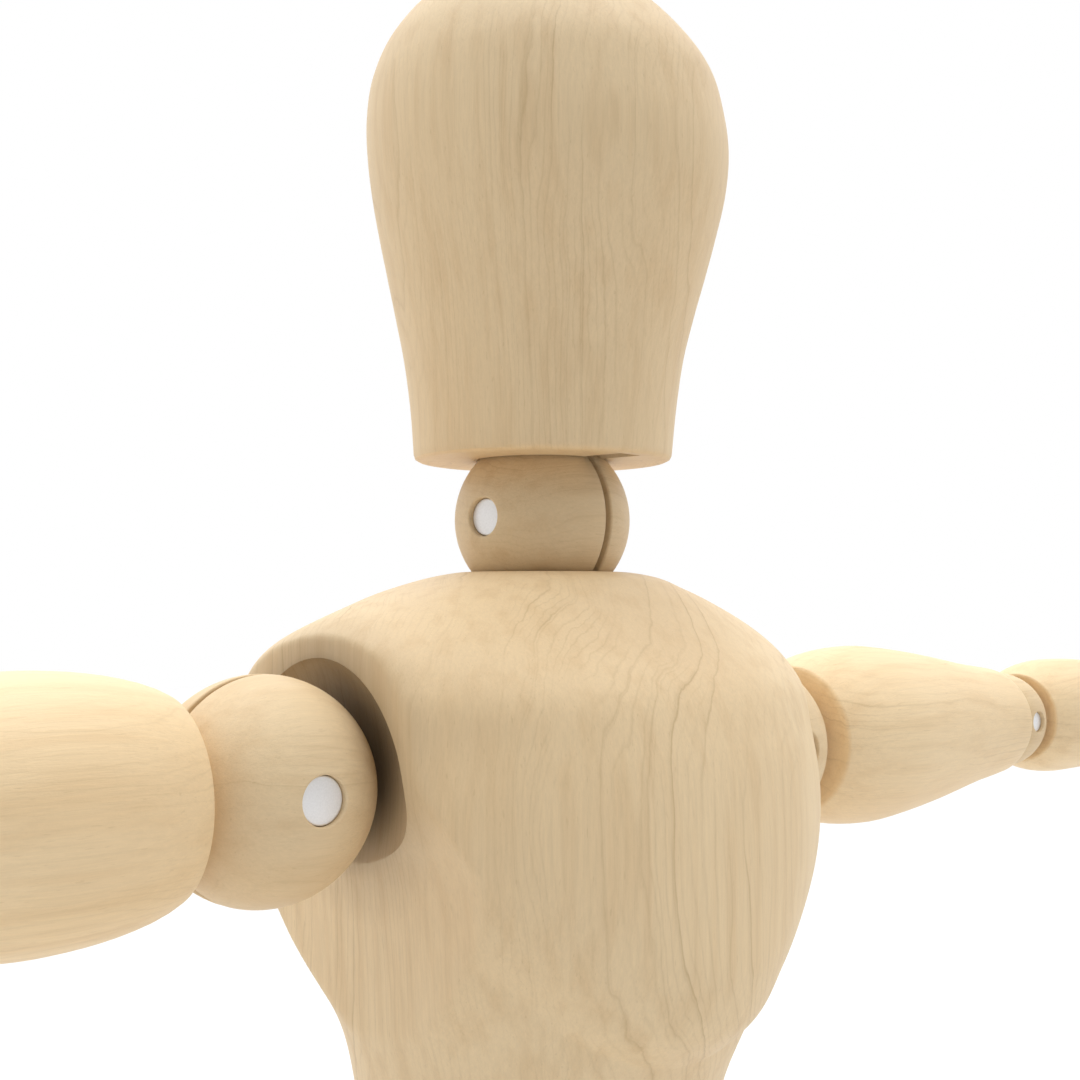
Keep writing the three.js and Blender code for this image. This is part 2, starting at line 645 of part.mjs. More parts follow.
function addLeg(side) {
  const at = (z) => point(side * HIP_X, 0, z);
  const [hip, knee, ankle] = [at(HIP_Z), at(KNEE_Z), at(ANKLE_Z)];
  const label = sideOf(hip);
  addBall("hip", RADIUS.hip, X_AXIS, Z_AXIS, hip);
  addBall("knee", RADIUS.knee, X_AXIS, Z_AXIS, knee);
  addBall("ankle", RADIUS.ankle, X_AXIS, Z_AXIS, ankle, false);
  place(`thigh${label}`, limbGeometry(hip, knee, THIGH, RADIUS.hip, RADIUS.knee), WOOD);
  place(`shin${label}`, limbGeometry(knee, ankle, SHIN, RADIUS.knee, RADIUS.ankle), WOOD);
  place(
    `thigh_spring${label}`,
    springGeometry(hip, knee, pinRadius(RADIUS.hip), pinRadius(RADIUS.knee), X_AXIS, [LIMB_COILS]),
    SPRING_STEEL,
  );
  const footPin = ankle.clone().setZ(ANKLE_Z - FOOT_PIN_DROP);
  place(
    `shin_spring${label}`,
    springGeometry(knee, footPin, pinRadius(RADIUS.knee), FOOT_PIN_RADIUS, X_AXIS, [LIMB_COILS]),
    SPRING_STEEL,
  );
  addFoot(ankle, footPin);
}

function addFoot(ankle, footPin) {
  const sole = loft(smoothRows(FOOT, 7), 12, pointingForward).translate(ankle.x, 0, SOLE_Z);
  const collar = along(
    new THREE.LatheGeometry(
      [
        new THREE.Vector2(0, 4),
        new THREE.Vector2(6, 4),
        new THREE.Vector2(5.6, 7.5),
        new THREE.Vector2(4.9, 9.3),
        new THREE.Vector2(4.2, 9.9),
        new THREE.Vector2(0, 9.9),
      ],
      12,
    ),
    Z_AXIS,
    point(ankle.x, 0, SOLE_Z),
  );
  const downward = Z_AXIS.clone().negate();
  cutAndPin("foot", join(sole, collar), ankle, footPin, downward, X_AXIS, {
    ball: RADIUS.ankle,
    pin: FOOT_PIN_RADIUS,
    halfPin: 5,
  });
}

addStand();
addPelvis();
addTorso();
addHead();
addTrunkBalls();
for (const side of [-1, 1]) {
  addArm(side);
  addLeg(side);
}

export default figure;
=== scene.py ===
"""A jointed wooden artist's figure on its stand: turned and carved wood, steel pins, rod and springs."""

import json
import math

import bpy
import numpy as np
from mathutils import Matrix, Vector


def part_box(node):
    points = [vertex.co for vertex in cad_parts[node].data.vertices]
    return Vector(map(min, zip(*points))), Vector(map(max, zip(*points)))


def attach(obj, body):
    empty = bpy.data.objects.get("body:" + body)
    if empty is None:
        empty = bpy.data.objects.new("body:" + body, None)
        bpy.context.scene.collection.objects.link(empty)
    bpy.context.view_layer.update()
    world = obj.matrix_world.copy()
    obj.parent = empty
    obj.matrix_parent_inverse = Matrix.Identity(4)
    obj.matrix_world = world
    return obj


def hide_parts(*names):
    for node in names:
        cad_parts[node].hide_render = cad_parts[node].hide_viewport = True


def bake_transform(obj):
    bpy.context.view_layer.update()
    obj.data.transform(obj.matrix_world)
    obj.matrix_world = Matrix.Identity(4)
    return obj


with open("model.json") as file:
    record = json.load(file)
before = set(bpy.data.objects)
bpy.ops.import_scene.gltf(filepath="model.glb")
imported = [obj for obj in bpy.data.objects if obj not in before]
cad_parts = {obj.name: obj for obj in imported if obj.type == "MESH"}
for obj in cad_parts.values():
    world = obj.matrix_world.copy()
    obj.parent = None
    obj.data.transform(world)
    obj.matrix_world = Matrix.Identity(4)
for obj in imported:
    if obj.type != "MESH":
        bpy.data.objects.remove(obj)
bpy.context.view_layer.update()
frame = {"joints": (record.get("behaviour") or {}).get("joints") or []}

MM = 0.001
X, Y, Z = np.eye(3)
JOINTS = {joint["name"]: joint for joint in frame["joints"]}
SIDES = {"right": -1, "left": 1}


def pivot(joint):
    """A joint's centre in millimetres."""
    return np.array(JOINTS[joint]["pos_m"]) / MM


def low(node):
    return np.array(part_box(node)[0]) / MM


def high(node):
    return np.array(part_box(node)[1]) / MM


def ball_radius(node):
    return float(max(high(node) - low(node))) / 2


NECK, WAIST = pivot("head_nod"), pivot("waist_bend")
SHOULDERS = {side: pivot(f"shoulder_swing_{side}") for side in SIDES}
SHOULDER_MIDDLE = (SHOULDERS["left"] + SHOULDERS["right"]) / 2
ROD_RADIUS = float((high("support_rod") - low("support_rod"))[0]) / 2

# ---- Driving sizes that the frame doesn't hold, in millimetres ------------------------------------
FIT = 0.08  # between a ball and the cup it sits in
PIN_SHARE = 0.205  # pin radius as a share of its ball's
PIN_GAP = 0.05
PIN_RECESS = 0.4
PIN_BURR = 0.1  # how far a pin's ends are rubbed round
HOLE_ROUNDING = 0.14
SLOT = 0.62  # width of the saw slot
SLOT_DEPTH = 0.3  # as a share of the ball's radius
SLOT_ROUNDING = 0.16
WAY_WIDTH = 1.4  # the way through a ball for the two wires
WAY_HEIGHT = 1.1  # as a share of the ball's radius
CUP_ROUNDING = 0.25  # the edge of a cup that is carved into a body
BORE = 1.8  # radius of the springs' ways through the wood
WELL = 1.9  # radius of the well down to the pin in a hand or foot
WIRE = 0.3  # radius of the spring wire
COIL = 1.3  # outer radius of a coil
COIL_PITCH = 2.15 * WIRE
HOOK_SHIFT = 0.35  # how far off the middle of its pin an eye sits
EYE_GAP = 0.15  # between an eye and its pin
JUNCTION_DROP = 15  # how far under the waist ball the hip wires meet the pelvis spring


# ---- Fineness of the shapes -----------------------------------------------------------------------
ARC_STEP = 4.0  # degrees
PATH_STEP = 0.5
COIL_STEPS = 14  # points in a coil's turn
CAST_REACH = 60  # longer than any carved body is from its middle to its skin
BISECTIONS = 34
DRAFT_ROWS, DRAFT_COLUMNS = 500, 24


# ---- Shape tools ----------------------------------------------------------------------------------
def smooth_min(a, b, width):
    blend = np.clip(0.5 + 0.5 * (b - a) / width, 0, 1)
    return b * (1 - blend) + a * blend - width * blend * (1 - blend)


def smooth_max(a, b, width):
    return -smooth_min(-a, -b, width)


def smooth_curve(stations):
    """A function from place to the rest of the row, smooth through the stations."""
    table = np.array(stations, float)
    places, values = table[:, 0], table[:, 1:]
    slopes = np.gradient(values, places, axis=0)

    def at(place):
        i = np.clip(np.searchsorted(places, place) - 1, 0, len(places) - 2)
        step = places[i + 1] - places[i]
        s = np.clip((place - places[i]) / step, 0, 1)[..., None]
        step = step[..., None]
        near = (2 * s**3 - 3 * s**2 + 1) * values[i] + (s**3 - 2 * s**2 + s) * step * slopes[i]
        far = (3 * s**2 - 2 * s**3) * values[i + 1] + (s**3 - s**2) * step * slopes[i + 1]
        return np.moveaxis(near + far, -1, 0)

    return at


def loft(curve, along, across, depth):
    """Below 0 inside a body whose sections are superellipses: half width, front, back, exponent, shift."""
    width, front, back, power, shift = curve(along)
    depth = depth - shift
    half = np.where(depth < 0, front, back)
    ratio = (np.abs(across / width) ** power + np.abs(depth / half) ** power) ** (1 / power)
    return np.hypot(across, depth) * (1 - 1 / np.maximum(ratio, 1e-6))


def sphere(points, centre, radius):
    return np.linalg.norm(points - centre, axis=-1) - radius


def rounded(corners, steps=7):
    """A closed outline from (x, y, rounding) corners."""
    outline = []
    for i, (x, y, rounding) in enumerate(corners):
        here = np.array([x, y], float)
        if rounding == 0:
            outline.append(here)
            continue
        back = np.array(corners[i - 1][:2]) - here
        ahead = np.array(corners[(i + 1) % len(corners)][:2]) - here
        reach_back, reach_ahead = np.linalg.norm(back), np.linalg.norm(ahead)
        back, ahead = back / reach_back, ahead / reach_ahead
        half = math.acos(np.clip(back @ ahead, -1, 1)) / 2
        reach = min(rounding / math.tan(half), 0.48 * reach_back, 0.48 * reach_ahead)
        radius = reach * math.tan(half)
        middle = (back + ahead) / np.linalg.norm(back + ahead)
        centre = here + middle * radius / math.sin(half)
        first, last = here + back * reach - centre, here + ahead * reach - centre
        for s in np.linspace(0, 1, steps):
            ray = first * (1 - s) + last * s
            outline.append(centre + ray * radius / np.linalg.norm(ray))
    return outline


def arc(centre, radius, start, end):
    """Unrounded corners on a circle about a point of the axis, angles in degrees from the axis."""
    count = max(2, round(abs(end - start) / ARC_STEP))
    angles = np.radians(np.linspace(start, end, count + 1))
    return [(centre + radius * math.cos(a), radius * math.sin(a), 0) for a in angles]


def frame_of(axis):
    """The axis at length 1, and two more at right angles to it."""
    axis = axis / np.linalg.norm(axis)
    side = np.cross(axis, Z if abs(axis @ Z) < 0.9 else X)
    side /= np.linalg.norm(side)
    return axis, side, np.cross(axis, side)


def make(name, points, faces, smooth_angle=40):
    """A mesh object from points in millimetres."""
    mesh = bpy.data.meshes.new(name)
    mesh.from_pydata((np.asarray(points) * MM).tolist(), [], faces)
    mesh.validate()
    mesh.polygons.foreach_set("use_smooth", [True] * len(mesh.polygons))
    mesh.set_sharp_from_angle(angle=math.radians(smooth_angle))
    piece = bpy.data.objects.new(name, mesh)
    bpy.context.scene.collection.objects.link(piece)
    return piece


def turned(name, outline, origin, axis, segments=96):
    """A solid of revolution. The outline closes on itself, or starts and ends on the axis."""
    axis, side, third = frame_of(axis)
    turn = np.arange(segments) * 2 * math.pi / segments
    around = np.cos(turn)[:, None] * side + np.sin(turn)[:, None] * third
    points, rings = [], []
    for place, radius in outline:
        start = len(points)
        if radius < 1e-6:
            points.append(origin + axis * place)
            rings.append([start] * segments)
        else:
            points.extend(origin + axis * place + around * radius)
            rings.append(list(range(start, start + segments)))
    pairs = list(zip(rings, rings[1:]))
    if outline[0][1] > 1e-6:
        pairs.append((rings[-1], rings[0]))
    faces = []
    for a, b in pairs:
        for i in range(segments):
            j = (i + 1) % segments
            face = list(dict.fromkeys([a[i], a[j], b[j], b[i]]))
            if len(face) > 2:
                faces.append(face)
    return make(name, points, faces)


def carved(name, field, centre, pole, rows, columns):
    """The skin where a field is 0, found along rays from an inner centre. Rows run from pole to pole and are
    spaced so that they lie evenly over the skin."""
    pole, side, third = frame_of(pole)

    def cast(tilts, turns):
        tilt, turn = np.meshgrid(tilts, turns, indexing="ij")
        rays = (
            -np.cos(tilt)[..., None] * pole
            + (np.sin(tilt) * np.cos(turn))[..., None] * side
            + (np.sin(tilt) * np.sin(turn))[..., None] * third
        )
        near, far = np.zeros(tilt.shape), np.full(tilt.shape, float(CAST_REACH))
        for _ in range(BISECTIONS):
            middle = (near + far) / 2
            inside = field(centre + rays * middle[..., None]) < 0
            near, far = np.where(inside, middle, near), np.where(inside, far, middle)
        return centre + rays * near[..., None]

    draft_tilts = np.linspace(0, math.pi, DRAFT_ROWS)
    draft = cast(draft_tilts, np.arange(DRAFT_COLUMNS) * 2 * math.pi / DRAFT_COLUMNS)
    steps = np.linalg.norm(np.diff(draft, axis=0), axis=-1).max(axis=1)
    length = np.concatenate([[0], np.cumsum(steps + steps.mean() * 0.25)])
    tilts = np.interp(np.linspace(0, length[-1], rows + 1), length, draft_tilts)
    skin = cast(tilts[1:-1], np.arange(columns) * 2 * math.pi / columns)
    ends = cast(tilts[[0, -1]], np.array([0.0]))
    points = np.concatenate([skin.reshape(-1, 3), ends.reshape(-1, 3)])
    first, last = len(points) - 2, len(points) - 1
    top = (rows - 2) * columns
    faces = []
    for i in range(columns):
        j = (i + 1) % columns
        faces.append([first, j, i])
        faces.append([last, top + i, top + j])
        faces.extend([r + i, r + j, r + columns + j, r + columns + i] for r in range(0, top, columns))
    return make(name, points, faces, smooth_angle=60)


def cut_away(piece, *tools):
    """Takes the tools' shapes away from a piece for good."""
    for tool in tools:
        cut = piece.modifiers.new("cut", "BOOLEAN")
        cut.object = tool
        cut.solver = "EXACT"
    depsgraph = bpy.context.evaluated_depsgraph_get()
    result = bpy.data.meshes.new_from_object(piece.evaluated_get(depsgraph))
    piece.modifiers.clear()
    old, piece.data = piece.data, result
    bpy.data.meshes.remove(old)
    result.set_sharp_from_angle(angle=math.radians(40))
    for tool in tools:
        bpy.data.objects.remove(tool)


def rod_shape(name, start, end, radius):
    """A plain round cutter between two points."""
    length = float(np.linalg.norm(end - start))
    return turned(name, [(0, 0), (0, radius), (length, radius), (length, 0)], start, end - start, 32)


def slab(name, centre, axes, size):
    """A plain block about a centre, with its edges along three axes."""
    corners = [(i, j, k) for i in (-1, 1) for j in (-1, 1) for k in (-1, 1)]
    points = [centre + sum(c * s / 2 * a for c, s, a in zip(corner, size, axes)) for corner in corners]
    faces = [[0, 1, 3, 2], [4, 6, 7, 5], [0, 4, 5, 1], [2, 3, 7, 6], [0, 2, 6, 4], [1, 5, 7, 3]]
    return make(name, points, faces)


def swept(name, path, radius, sides):
    """A round wire along a path, with its two ends drawn in."""
    path = np.asarray(path, float)
    ways = np.gradient(path, axis=0)
    ways /= np.linalg.norm(ways, axis=1)[:, None]
    _, side, _ = frame_of(ways[0])
    turn = np.arange(sides) * 2 * math.pi / sides
    points, faces = [], []
    for k, (here, way) in enumerate(zip(path, ways)):
        side = side - way * (side @ way)
        side /= np.linalg.norm(side)
        other = np.cross(way, side)
        size = radius * (0.6 if k in (0, len(path) - 1) else 1)
        points.extend(here + size * (math.cos(t) * side + math.sin(t) * other) for t in turn)
        if k:
            a, b = (k - 1) * sides, k * sides
            faces.extend([a + i, a + (i + 1) % sides, b + (i + 1) % sides, b + i] for i in range(sides))
    faces.append(list(range(sides))[::-1])
    faces.append([len(points) - sides + i for i in range(sides)])
    return make(name, points, faces, smooth_angle=60)


# ---- Materials ------------------------------------------------------------------------------------
class Nodes:
    """Short calls for a material's node tree."""

    def __init__(self, name):
        self.material = bpy.data.materials.new(name)
        self.material.use_nodes = True
        self.tree = self.material.node_tree
        self.shader = self.tree.nodes["Principled BSDF"]

    def add(self, kind, inputs=None, **settings):
        node = self.tree.nodes.new("ShaderNode" + kind)
        for key, value in settings.items():
            setattr(node, key, value)
        for socket, value in (inputs or {}).items():
            self.put(node.inputs[socket], value)
        return node.outputs[0]

    def put(self, socket, value):
        if isinstance(value, bpy.types.NodeSocket):
            self.tree.links.new(value, socket)
        else:
            socket.default_value = value

    def math(self, operation, a, b=0.0):
        return self.add("Math", {0: a, 1: b}, operation=operation)

    def vector(self, operation, a, b):
        return self.add("VectorMath", {0: a, 1: b}, operation=operation)

    def noise(self, place, scale, detail=2.0, roughness=0.5):
        inputs = {"Vector": place, "Scale": scale, "Detail": detail, "Roughness": roughness}
        return self.add("TexNoise", inputs)

    def ramp(self, value, *stops):
        socket = self.add("ValToRGB", {"Fac": value})
        ramp = socket.node.color_ramp
        while len(ramp.elements) < len(stops):
            ramp.elements.new(1.0)
        for element, (place, colour) in zip(ramp.elements, stops):
            element.position = place
            element.color = (*colour, 1) if not isinstance(colour, float) else (colour, colour, colour, 1)
        return socket

    def mix(self, amount, a, b, mode="MIX"):
        node = self.tree.nodes.new("ShaderNodeMix")
        node.data_type = "RGBA"
        node.blend_type = mode
        self.put(node.inputs[0], amount)
        self.put(node.inputs[6], a)
        self.put(node.inputs[7], b)
        return node.outputs[2]


WOOD_PALE = (0.80, 0.62, 0.385)
WOOD_TAN = (0.70, 0.505, 0.285)
WOOD_LINE = (0.45, 0.30, 0.14)
# the colour of the painted shade in the shoulder sockets
WOOD_PAINTED_SHADE = (0.17, 0.15, 0.135)
# How pale each piece's wood is beside the rest: partly its own tone, partly painted light and shade for how
# brightly it is lit.
LIMB_SHADE, TORSO_SHADE, HEAD_SHADE, NECK_SHADE = 1.13, 1.04, 0.96, 0.88
GRAIN_TURN = {"x": (0, math.pi / 2, 0), "y": (math.pi / 2, 0, 0), "z": (0, 0, 0)}


def wood(name, grain, seed, ring=1.5, pith=(-44.0, 41.0), lines=0.5, shade=1.0, shaded_sockets=()):
    """Pale maple. grain is the axis that its fibres follow, ring the growth rings' spacing and pith the
    tree's middle, both in millimetres. lines is the strength of the rings. shade multiplies the colour of the
    whole piece, partly the wood's own tone and partly painted light and shade for how brightly the piece is
    lit, and the last argument lists (centre, reach) of the places round a ball where painted shade darkens
    the colour."""
    draw = np.random.default_rng(seed)
    n = Nodes(name)
    place = n.add("TexCoord").node.outputs["Object"]
    # millimetres, with the grain along Z
    lain = n.add("Mapping", {"Vector": place, "Rotation": GRAIN_TURN[grain], "Scale": (1 / MM,) * 3})
    apart = n.vector("ADD", lain, tuple(draw.uniform(-300, 300, 3)))

    def stretched(along):
        return n.vector("MULTIPLY", apart, (1, 1, 1 / along))

    def shaken(along, scale, reach):
        push = n.noise(stretched(along), scale).node.outputs["Color"]
        return n.vector("MULTIPLY", n.vector("SUBTRACT", push, (0.5,) * 3), (reach, reach, 0))

    bent = n.vector("ADD", n.vector("ADD", lain, shaken(4, 0.05, 12)), shaken(5, 0.45, 1.1))
    bent = n.vector("ADD", bent, shaken(3, 3.0, 0.12))
    from_pith = n.vector("MULTIPLY", n.vector("SUBTRACT", bent, (*pith, 0)), (1, 1, 0.02))
    radius = n.add("VectorMath", {0: from_pith}, operation="LENGTH").node.outputs["Value"]
    # rings come closer together and further apart through the tree
    pace = n.noise(n.add("CombineXYZ", {0: n.math("MULTIPLY", radius, 0.13)}), 1.0)
    years = n.math("ADD", n.math("DIVIDE", radius, ring), n.math("MULTIPLY", pace, 3.0))
    season = n.math("FRACT", years)
    late = n.ramp(season, (0.0, 0.25), (0.06, 0.0), (0.72, 0.02), (0.90, 0.25), (0.96, 1.0), (1.0, 0.25))
    drift = n.math("MULTIPLY", n.noise(apart, 0.03, 1.0), 2.0)
    each_year = n.noise(n.add("CombineXYZ", {0: n.math("FLOOR", years), 1: drift}), 1.7)
    each_year = n.ramp(each_year, (0.40, 0.12), (0.62, 1.0))
    strength = n.ramp(n.noise(stretched(9), 0.10), (0.40, 0.12), (0.64, 1.0))
    line = n.math("MULTIPLY", n.math("MULTIPLY", late, each_year), n.math("MULTIPLY", strength, lines))

    # fine lines between the rings
    thin = n.math("FRACT", n.math("MULTIPLY", years, 2.7))
    thin = n.ramp(thin, (0.0, 0.5), (0.14, 0.0), (0.8, 0.0), (1.0, 1.0))
    thin = n.math("MULTIPLY", thin, n.ramp(n.noise(stretched(7), 0.16), (0.40, 0.0), (0.66, 0.24)))

    # the wood's own grain, from long fibres to grit
    fibre = n.noise(stretched(30), 4.6, 4.0, 0.72)
    hair = n.noise(stretched(20), 11.0, 2.0, 0.6)
    streak = n.noise(stretched(22), 0.8, 2.0)
    cloud = n.noise(stretched(4), 0.06, 2.0)
    pore = n.ramp(n.noise(stretched(7), 5.5, 1.0), (0.25, 1.0), (0.30, 0.0))
    grit = n.noise(stretched(1.6), 8.0, 2.0, 0.7)

    pale, tan, dark = ((*(c * shade for c in colour), 1) for colour in (WOOD_PALE, WOOD_TAN, WOOD_LINE))
    tone = n.mix(n.ramp(cloud, (0.42, 0.0), (0.72, 0.6)), pale, tan)
    tone = n.mix(n.ramp(streak, (0.46, 0.0), (0.70, 0.55)), tone, tan)
    tone = n.mix(thin, tone, dark)
    tone = n.mix(line, tone, dark)
    tone = n.mix(n.math("MULTIPLY", pore, 0.16), tone, dark)
    fine = n.math("ADD", n.math("MULTIPLY", fibre, 0.6), n.math("MULTIPLY", hair, 0.25))
    fine = n.math("ADD", fine, n.math("MULTIPLY", grit, 0.15))
    tone = n.mix(1.0, tone, n.ramp(fine, (0.34, 0.925), (0.66, 1.03)), "MULTIPLY")
    # painted shade: the colour darkens towards each socket's middle, where the ball and the bowl shade the
    # wood
    for centre, reach in shaded_sockets:
        gap = n.vector("SUBTRACT", n.vector("MULTIPLY", place, (1 / MM,) * 3), tuple(centre))
        away = n.add("VectorMath", {0: gap}, operation="LENGTH").node.outputs["Value"]
        share = n.math("DIVIDE", away, reach)
        painted_socket_shade = n.ramp(share, (0.50, 0.97), (0.62, 0.84), (0.70, 0.45), (0.8, 0.2), (1.0, 0.0))
        tone = n.mix(painted_socket_shade, tone, (*WOOD_PAINTED_SHADE, 1), "MULTIPLY")
    n.put(n.shader.inputs["Base Color"], tone)
    n.put(n.shader.inputs["Roughness"], n.math("ADD", n.math("MULTIPLY", fibre, 0.16), 0.42))
    n.shader.inputs["Specular IOR Level"].default_value = 0.3
    relief = n.math("SUBTRACT", fine, n.math("MULTIPLY", line, 0.8))
    bump = n.add("Bump", {"Height": relief, "Strength": 0.32, "Distance": 0.00012})
    n.put(n.shader.inputs["Normal"], bump)
    return n.material


def steel(name, colour, roughness, seed, grain=(1, 1, 1), metal=1.0):
    """Steel with fine scratches stretched along one axis and a mottled polish. A dull cut face scatters part
    of its light, so that its `metal` is below 1."""
    draw = np.random.default_rng(seed)
    n = Nodes(name)
    place = n.add("TexCoord").node.outputs["Object"]
    place = n.add(
        "Mapping",
        {"Vector": place, "Location": tuple(draw.uniform(-1, 1, 3)), "Scale": tuple(g / MM for g in grain)},
    )
    scratch = n.noise(place, 7.0, 3.0, 0.65)
    mottle = n.noise(place, 1.1, 2.0)
    dark = tuple(c * 0.8 for c in colour)
    n.put(n.shader.inputs["Base Color"], n.mix(scratch, (*dark, 1), (*colour, 1)))
    n.shader.inputs["Metallic"].default_value = metal
    rough = n.math("ADD", n.math("MULTIPLY", mottle, 0.15), roughness)
    n.put(n.shader.inputs["Roughness"], n.math("ADD", rough, n.math("MULTIPLY", scratch, 0.12)))
    bump = n.add("Bump", {"Height": scratch, "Strength": 0.25, "Distance": 0.00003})
    n.put(n.shader.inputs["Normal"], bump)
    return n.material


def floor_paint():
    """White paper, with painted shade in a soft grey patch round the stand that also cuts the light the floor
    throws up at the figure.
    """
    n = Nodes("floor_paint")
    place = n.add("TexCoord").node.outputs["Object"]
    tone = n.ramp(n.noise(place, 40.0, 3.0), (0.3, 0.84), (0.7, 0.88))
    away = n.add("VectorMath", {0: place}, operation="LENGTH").node.outputs["Value"]
    # painted shade: the floor is darker round the stand
    floor_shade = n.ramp(away, (0.2, 0.72), (0.65, 1.0))
    n.put(n.shader.inputs["Base Color"], n.mix(1.0, tone, floor_shade, "MULTIPLY"))
    n.shader.inputs["Roughness"].default_value = 0.85
    return n.material


SEEDS = iter(range(11, 500))


def finish(piece, body, nodes, material):
    """Puts a material on a piece, ties it to its body or, for a wire given the two bodies it bends between,
    bakes it in place, and hides the CAD nodes it stands for.
    """
    piece.data.materials.clear()
    piece.data.materials.append(material)
    if isinstance(body, tuple):
        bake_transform(piece)
    else:
        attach(piece, body)
    if nodes:
        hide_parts(*nodes)


# ---- Balls and pins -------------------------------------------------------------------------------
def add_ball(name, body, centre, pin_axis, limb_axis, has_pin=True, shade=1.0):
    """A ball with a saw slot round it, a hole for its pin and a way through for the wires."""
    radius = ball_radius(name)
    hole = radius * PIN_SHARE + PIN_GAP
    slot_half = SLOT / 2
    floor = radius * (1 - SLOT_DEPTH)
    hole_angle = math.degrees(math.asin(hole / radius))
    slot_angle = 90 - math.degrees(math.asin(slot_half / radius))
    cap = arc(0, radius, hole_angle if has_pin else 0, slot_angle)
    cap[-1] = (*cap[-1][:2], SLOT_ROUNDING)
    if has_pin:
        cap[0] = (*cap[0][:2], HOLE_ROUNDING)
    half = cap + [(slot_half, floor, 0)]
    other = [(-x, y, r) for x, y, r in reversed(half)]
    ball = turned(f"{name}_wood", rounded(half + other), centre, pin_axis)
    axes = (limb_axis, pin_axis, np.cross(limb_axis, pin_axis))
    way = slab("way", centre, axes, (3 * radius, WAY_WIDTH, WAY_HEIGHT * radius))
    cut_away(ball, way)
    material = wood(f"{name}_maple", "x", next(SEEDS), pith=(-9.0, 5.0), lines=0.35, shade=shade)
    finish(ball, body, [name], material)
    if has_pin:
        pin_name = name.replace("_ball", "_pin")
        length = 2 * (math.sqrt(radius**2 - hole**2) - PIN_RECESS)
        add_pin(pin_name, body, centre, pin_axis, radius * PIN_SHARE, length)


def add_pin(name, body, centre, axis, radius, length):
    """A cut length of wire with the burr rubbed off its edges."""
    half = length / 2
    ends = [(half, 0, 0), (half, radius, PIN_BURR), (-half, radius, PIN_BURR), (-half, 0, 0)]
    pin = turned(f"{name}_steel", rounded(ends, 4), centre, axis, 40)
    material = steel(f"{name}_cut_wire", (0.97, 0.97, 0.98), 0.34, next(SEEDS), metal=0.65)
    finish(pin, body, [name], material)


# ---- Limbs ----------------------------------------------------------------------------------------
def add_limb(node, body, start, end, dish, cup_ball, stations, grain, pith):
    """A turned limb with a shallow dish where it meets its upper ball and a close cup round its lower one.

    stations are (distance from the upper ball's centre, radius); dish is (upper ball, rim radius)."""
    length = float(np.linalg.norm(end - start))
    curve = smooth_curve(stations)
    first, last = stations[0][0], stations[-1][0]
    places = np.linspace(first, last, 34)
    radii = curve(places)[0]
    outer = [(t, r, 0) for t, r in zip(places, radii)]
    outer[0] = (*outer[0][:2], 0.7)
    outer[-1] = (*outer[-1][:2], 1.1)

    ball, rim = ball_radius(dish[0]), dish[1]
    bottom = ball + FIT
    depth = bottom - first
    dish_radius = (rim**2 + depth**2) / (2 * depth)
    dish_centre = bottom - dish_radius
    inner = math.degrees(math.asin(BORE / dish_radius))
    outer_angle = math.degrees(math.asin(rim / dish_radius))
    dish_arc = arc(dish_centre, dish_radius, inner, outer_angle)
    dish_arc[-1] = (*dish_arc[-1][:2], 0.25)

    cup = ball_radius(cup_ball) + FIT
    face = length - last
    cup_start = 180 - math.degrees(math.acos(face / cup))
    cup_end = 180 - math.degrees(math.asin(BORE / cup))
    cup_arc = arc(length, cup, cup_start, cup_end)
    cup_arc[0] = (*cup_arc[0][:2], 0.12)
    limb = turned(f"{node}_wood", rounded(dish_arc + outer + cup_arc), start, end - start, 128)
    material = wood(f"{node}_maple", grain, next(SEEDS), pith=pith, lines=0.4, shade=LIMB_SHADE)
    finish(limb, body, [node], material)


# Stations: distance from the upper ball's centre, radius.
UPPER_ARM = [
    (7.5, 6.9), (8.7, 7.45), (10.8, 8.05), (12.8, 8.4), (15.1, 8.62), (17.6, 8.7), (21, 8.47),
    (24.6, 8.1), (28.2, 7.65), (32.1, 7.08), (36.1, 6.48), (40.2, 6.0), (42.1, 5.7), (42.8, 5.35),
]
FOREARM = [
    (4.15, 4.95), (5.6, 5.75), (8.3, 6.3), (12.8, 6.45), (16.4, 6.35), (21, 5.95), (28, 5.15),
    (34, 4.65), (38.4, 4.45),
]
THIGH = [
    (7.0, 7.9), (9.5, 8.8), (14, 9.5), (20, 9.8), (28, 9.5), (36, 8.9), (46, 7.9), (55, 6.9),
    (61.8, 6.2),
]
SHIN = [
    (4.8, 5.3), (7, 6.3), (12, 7.4), (18, 7.9), (25, 7.5), (34, 6.5), (44, 5.5), (52, 5.1),
    (59.0, 4.95),
]


def add_arm(side):
    out = SIDES[side] * X
    shoulder, elbow, wrist = (pivot(f"{j}_{side}") for j in ("shoulder_swing", "elbow_bend", "wrist_bend"))
    add_ball(f"shoulder_ball_{side}", f"shoulder_ball_{side}", shoulder, Y, X)
    add_ball(f"elbow_ball_{side}", f"elbow_ball_{side}", elbow, Y, X)
    add_ball(f"wrist_ball_{side}", f"wrist_ball_{side}", wrist, Y, X, has_pin=False)
    shoulder_ball, elbow_ball, wrist_ball = (f"{b}_ball_{side}" for b in ("shoulder", "elbow", "wrist"))
    add_limb(f"upper_arm_{side}", f"upper_arm_{side}", shoulder, elbow, (shoulder_ball, 6.3), elbow_ball,
             UPPER_ARM, "x", (-14.0, 26.0))
    add_limb(f"forearm_{side}", f"forearm_{side}", elbow, wrist, (elbow_ball, 4.7), wrist_ball,
             FOREARM, "x", (-20.0, 14.0))
    add_hand(side, wrist, out)


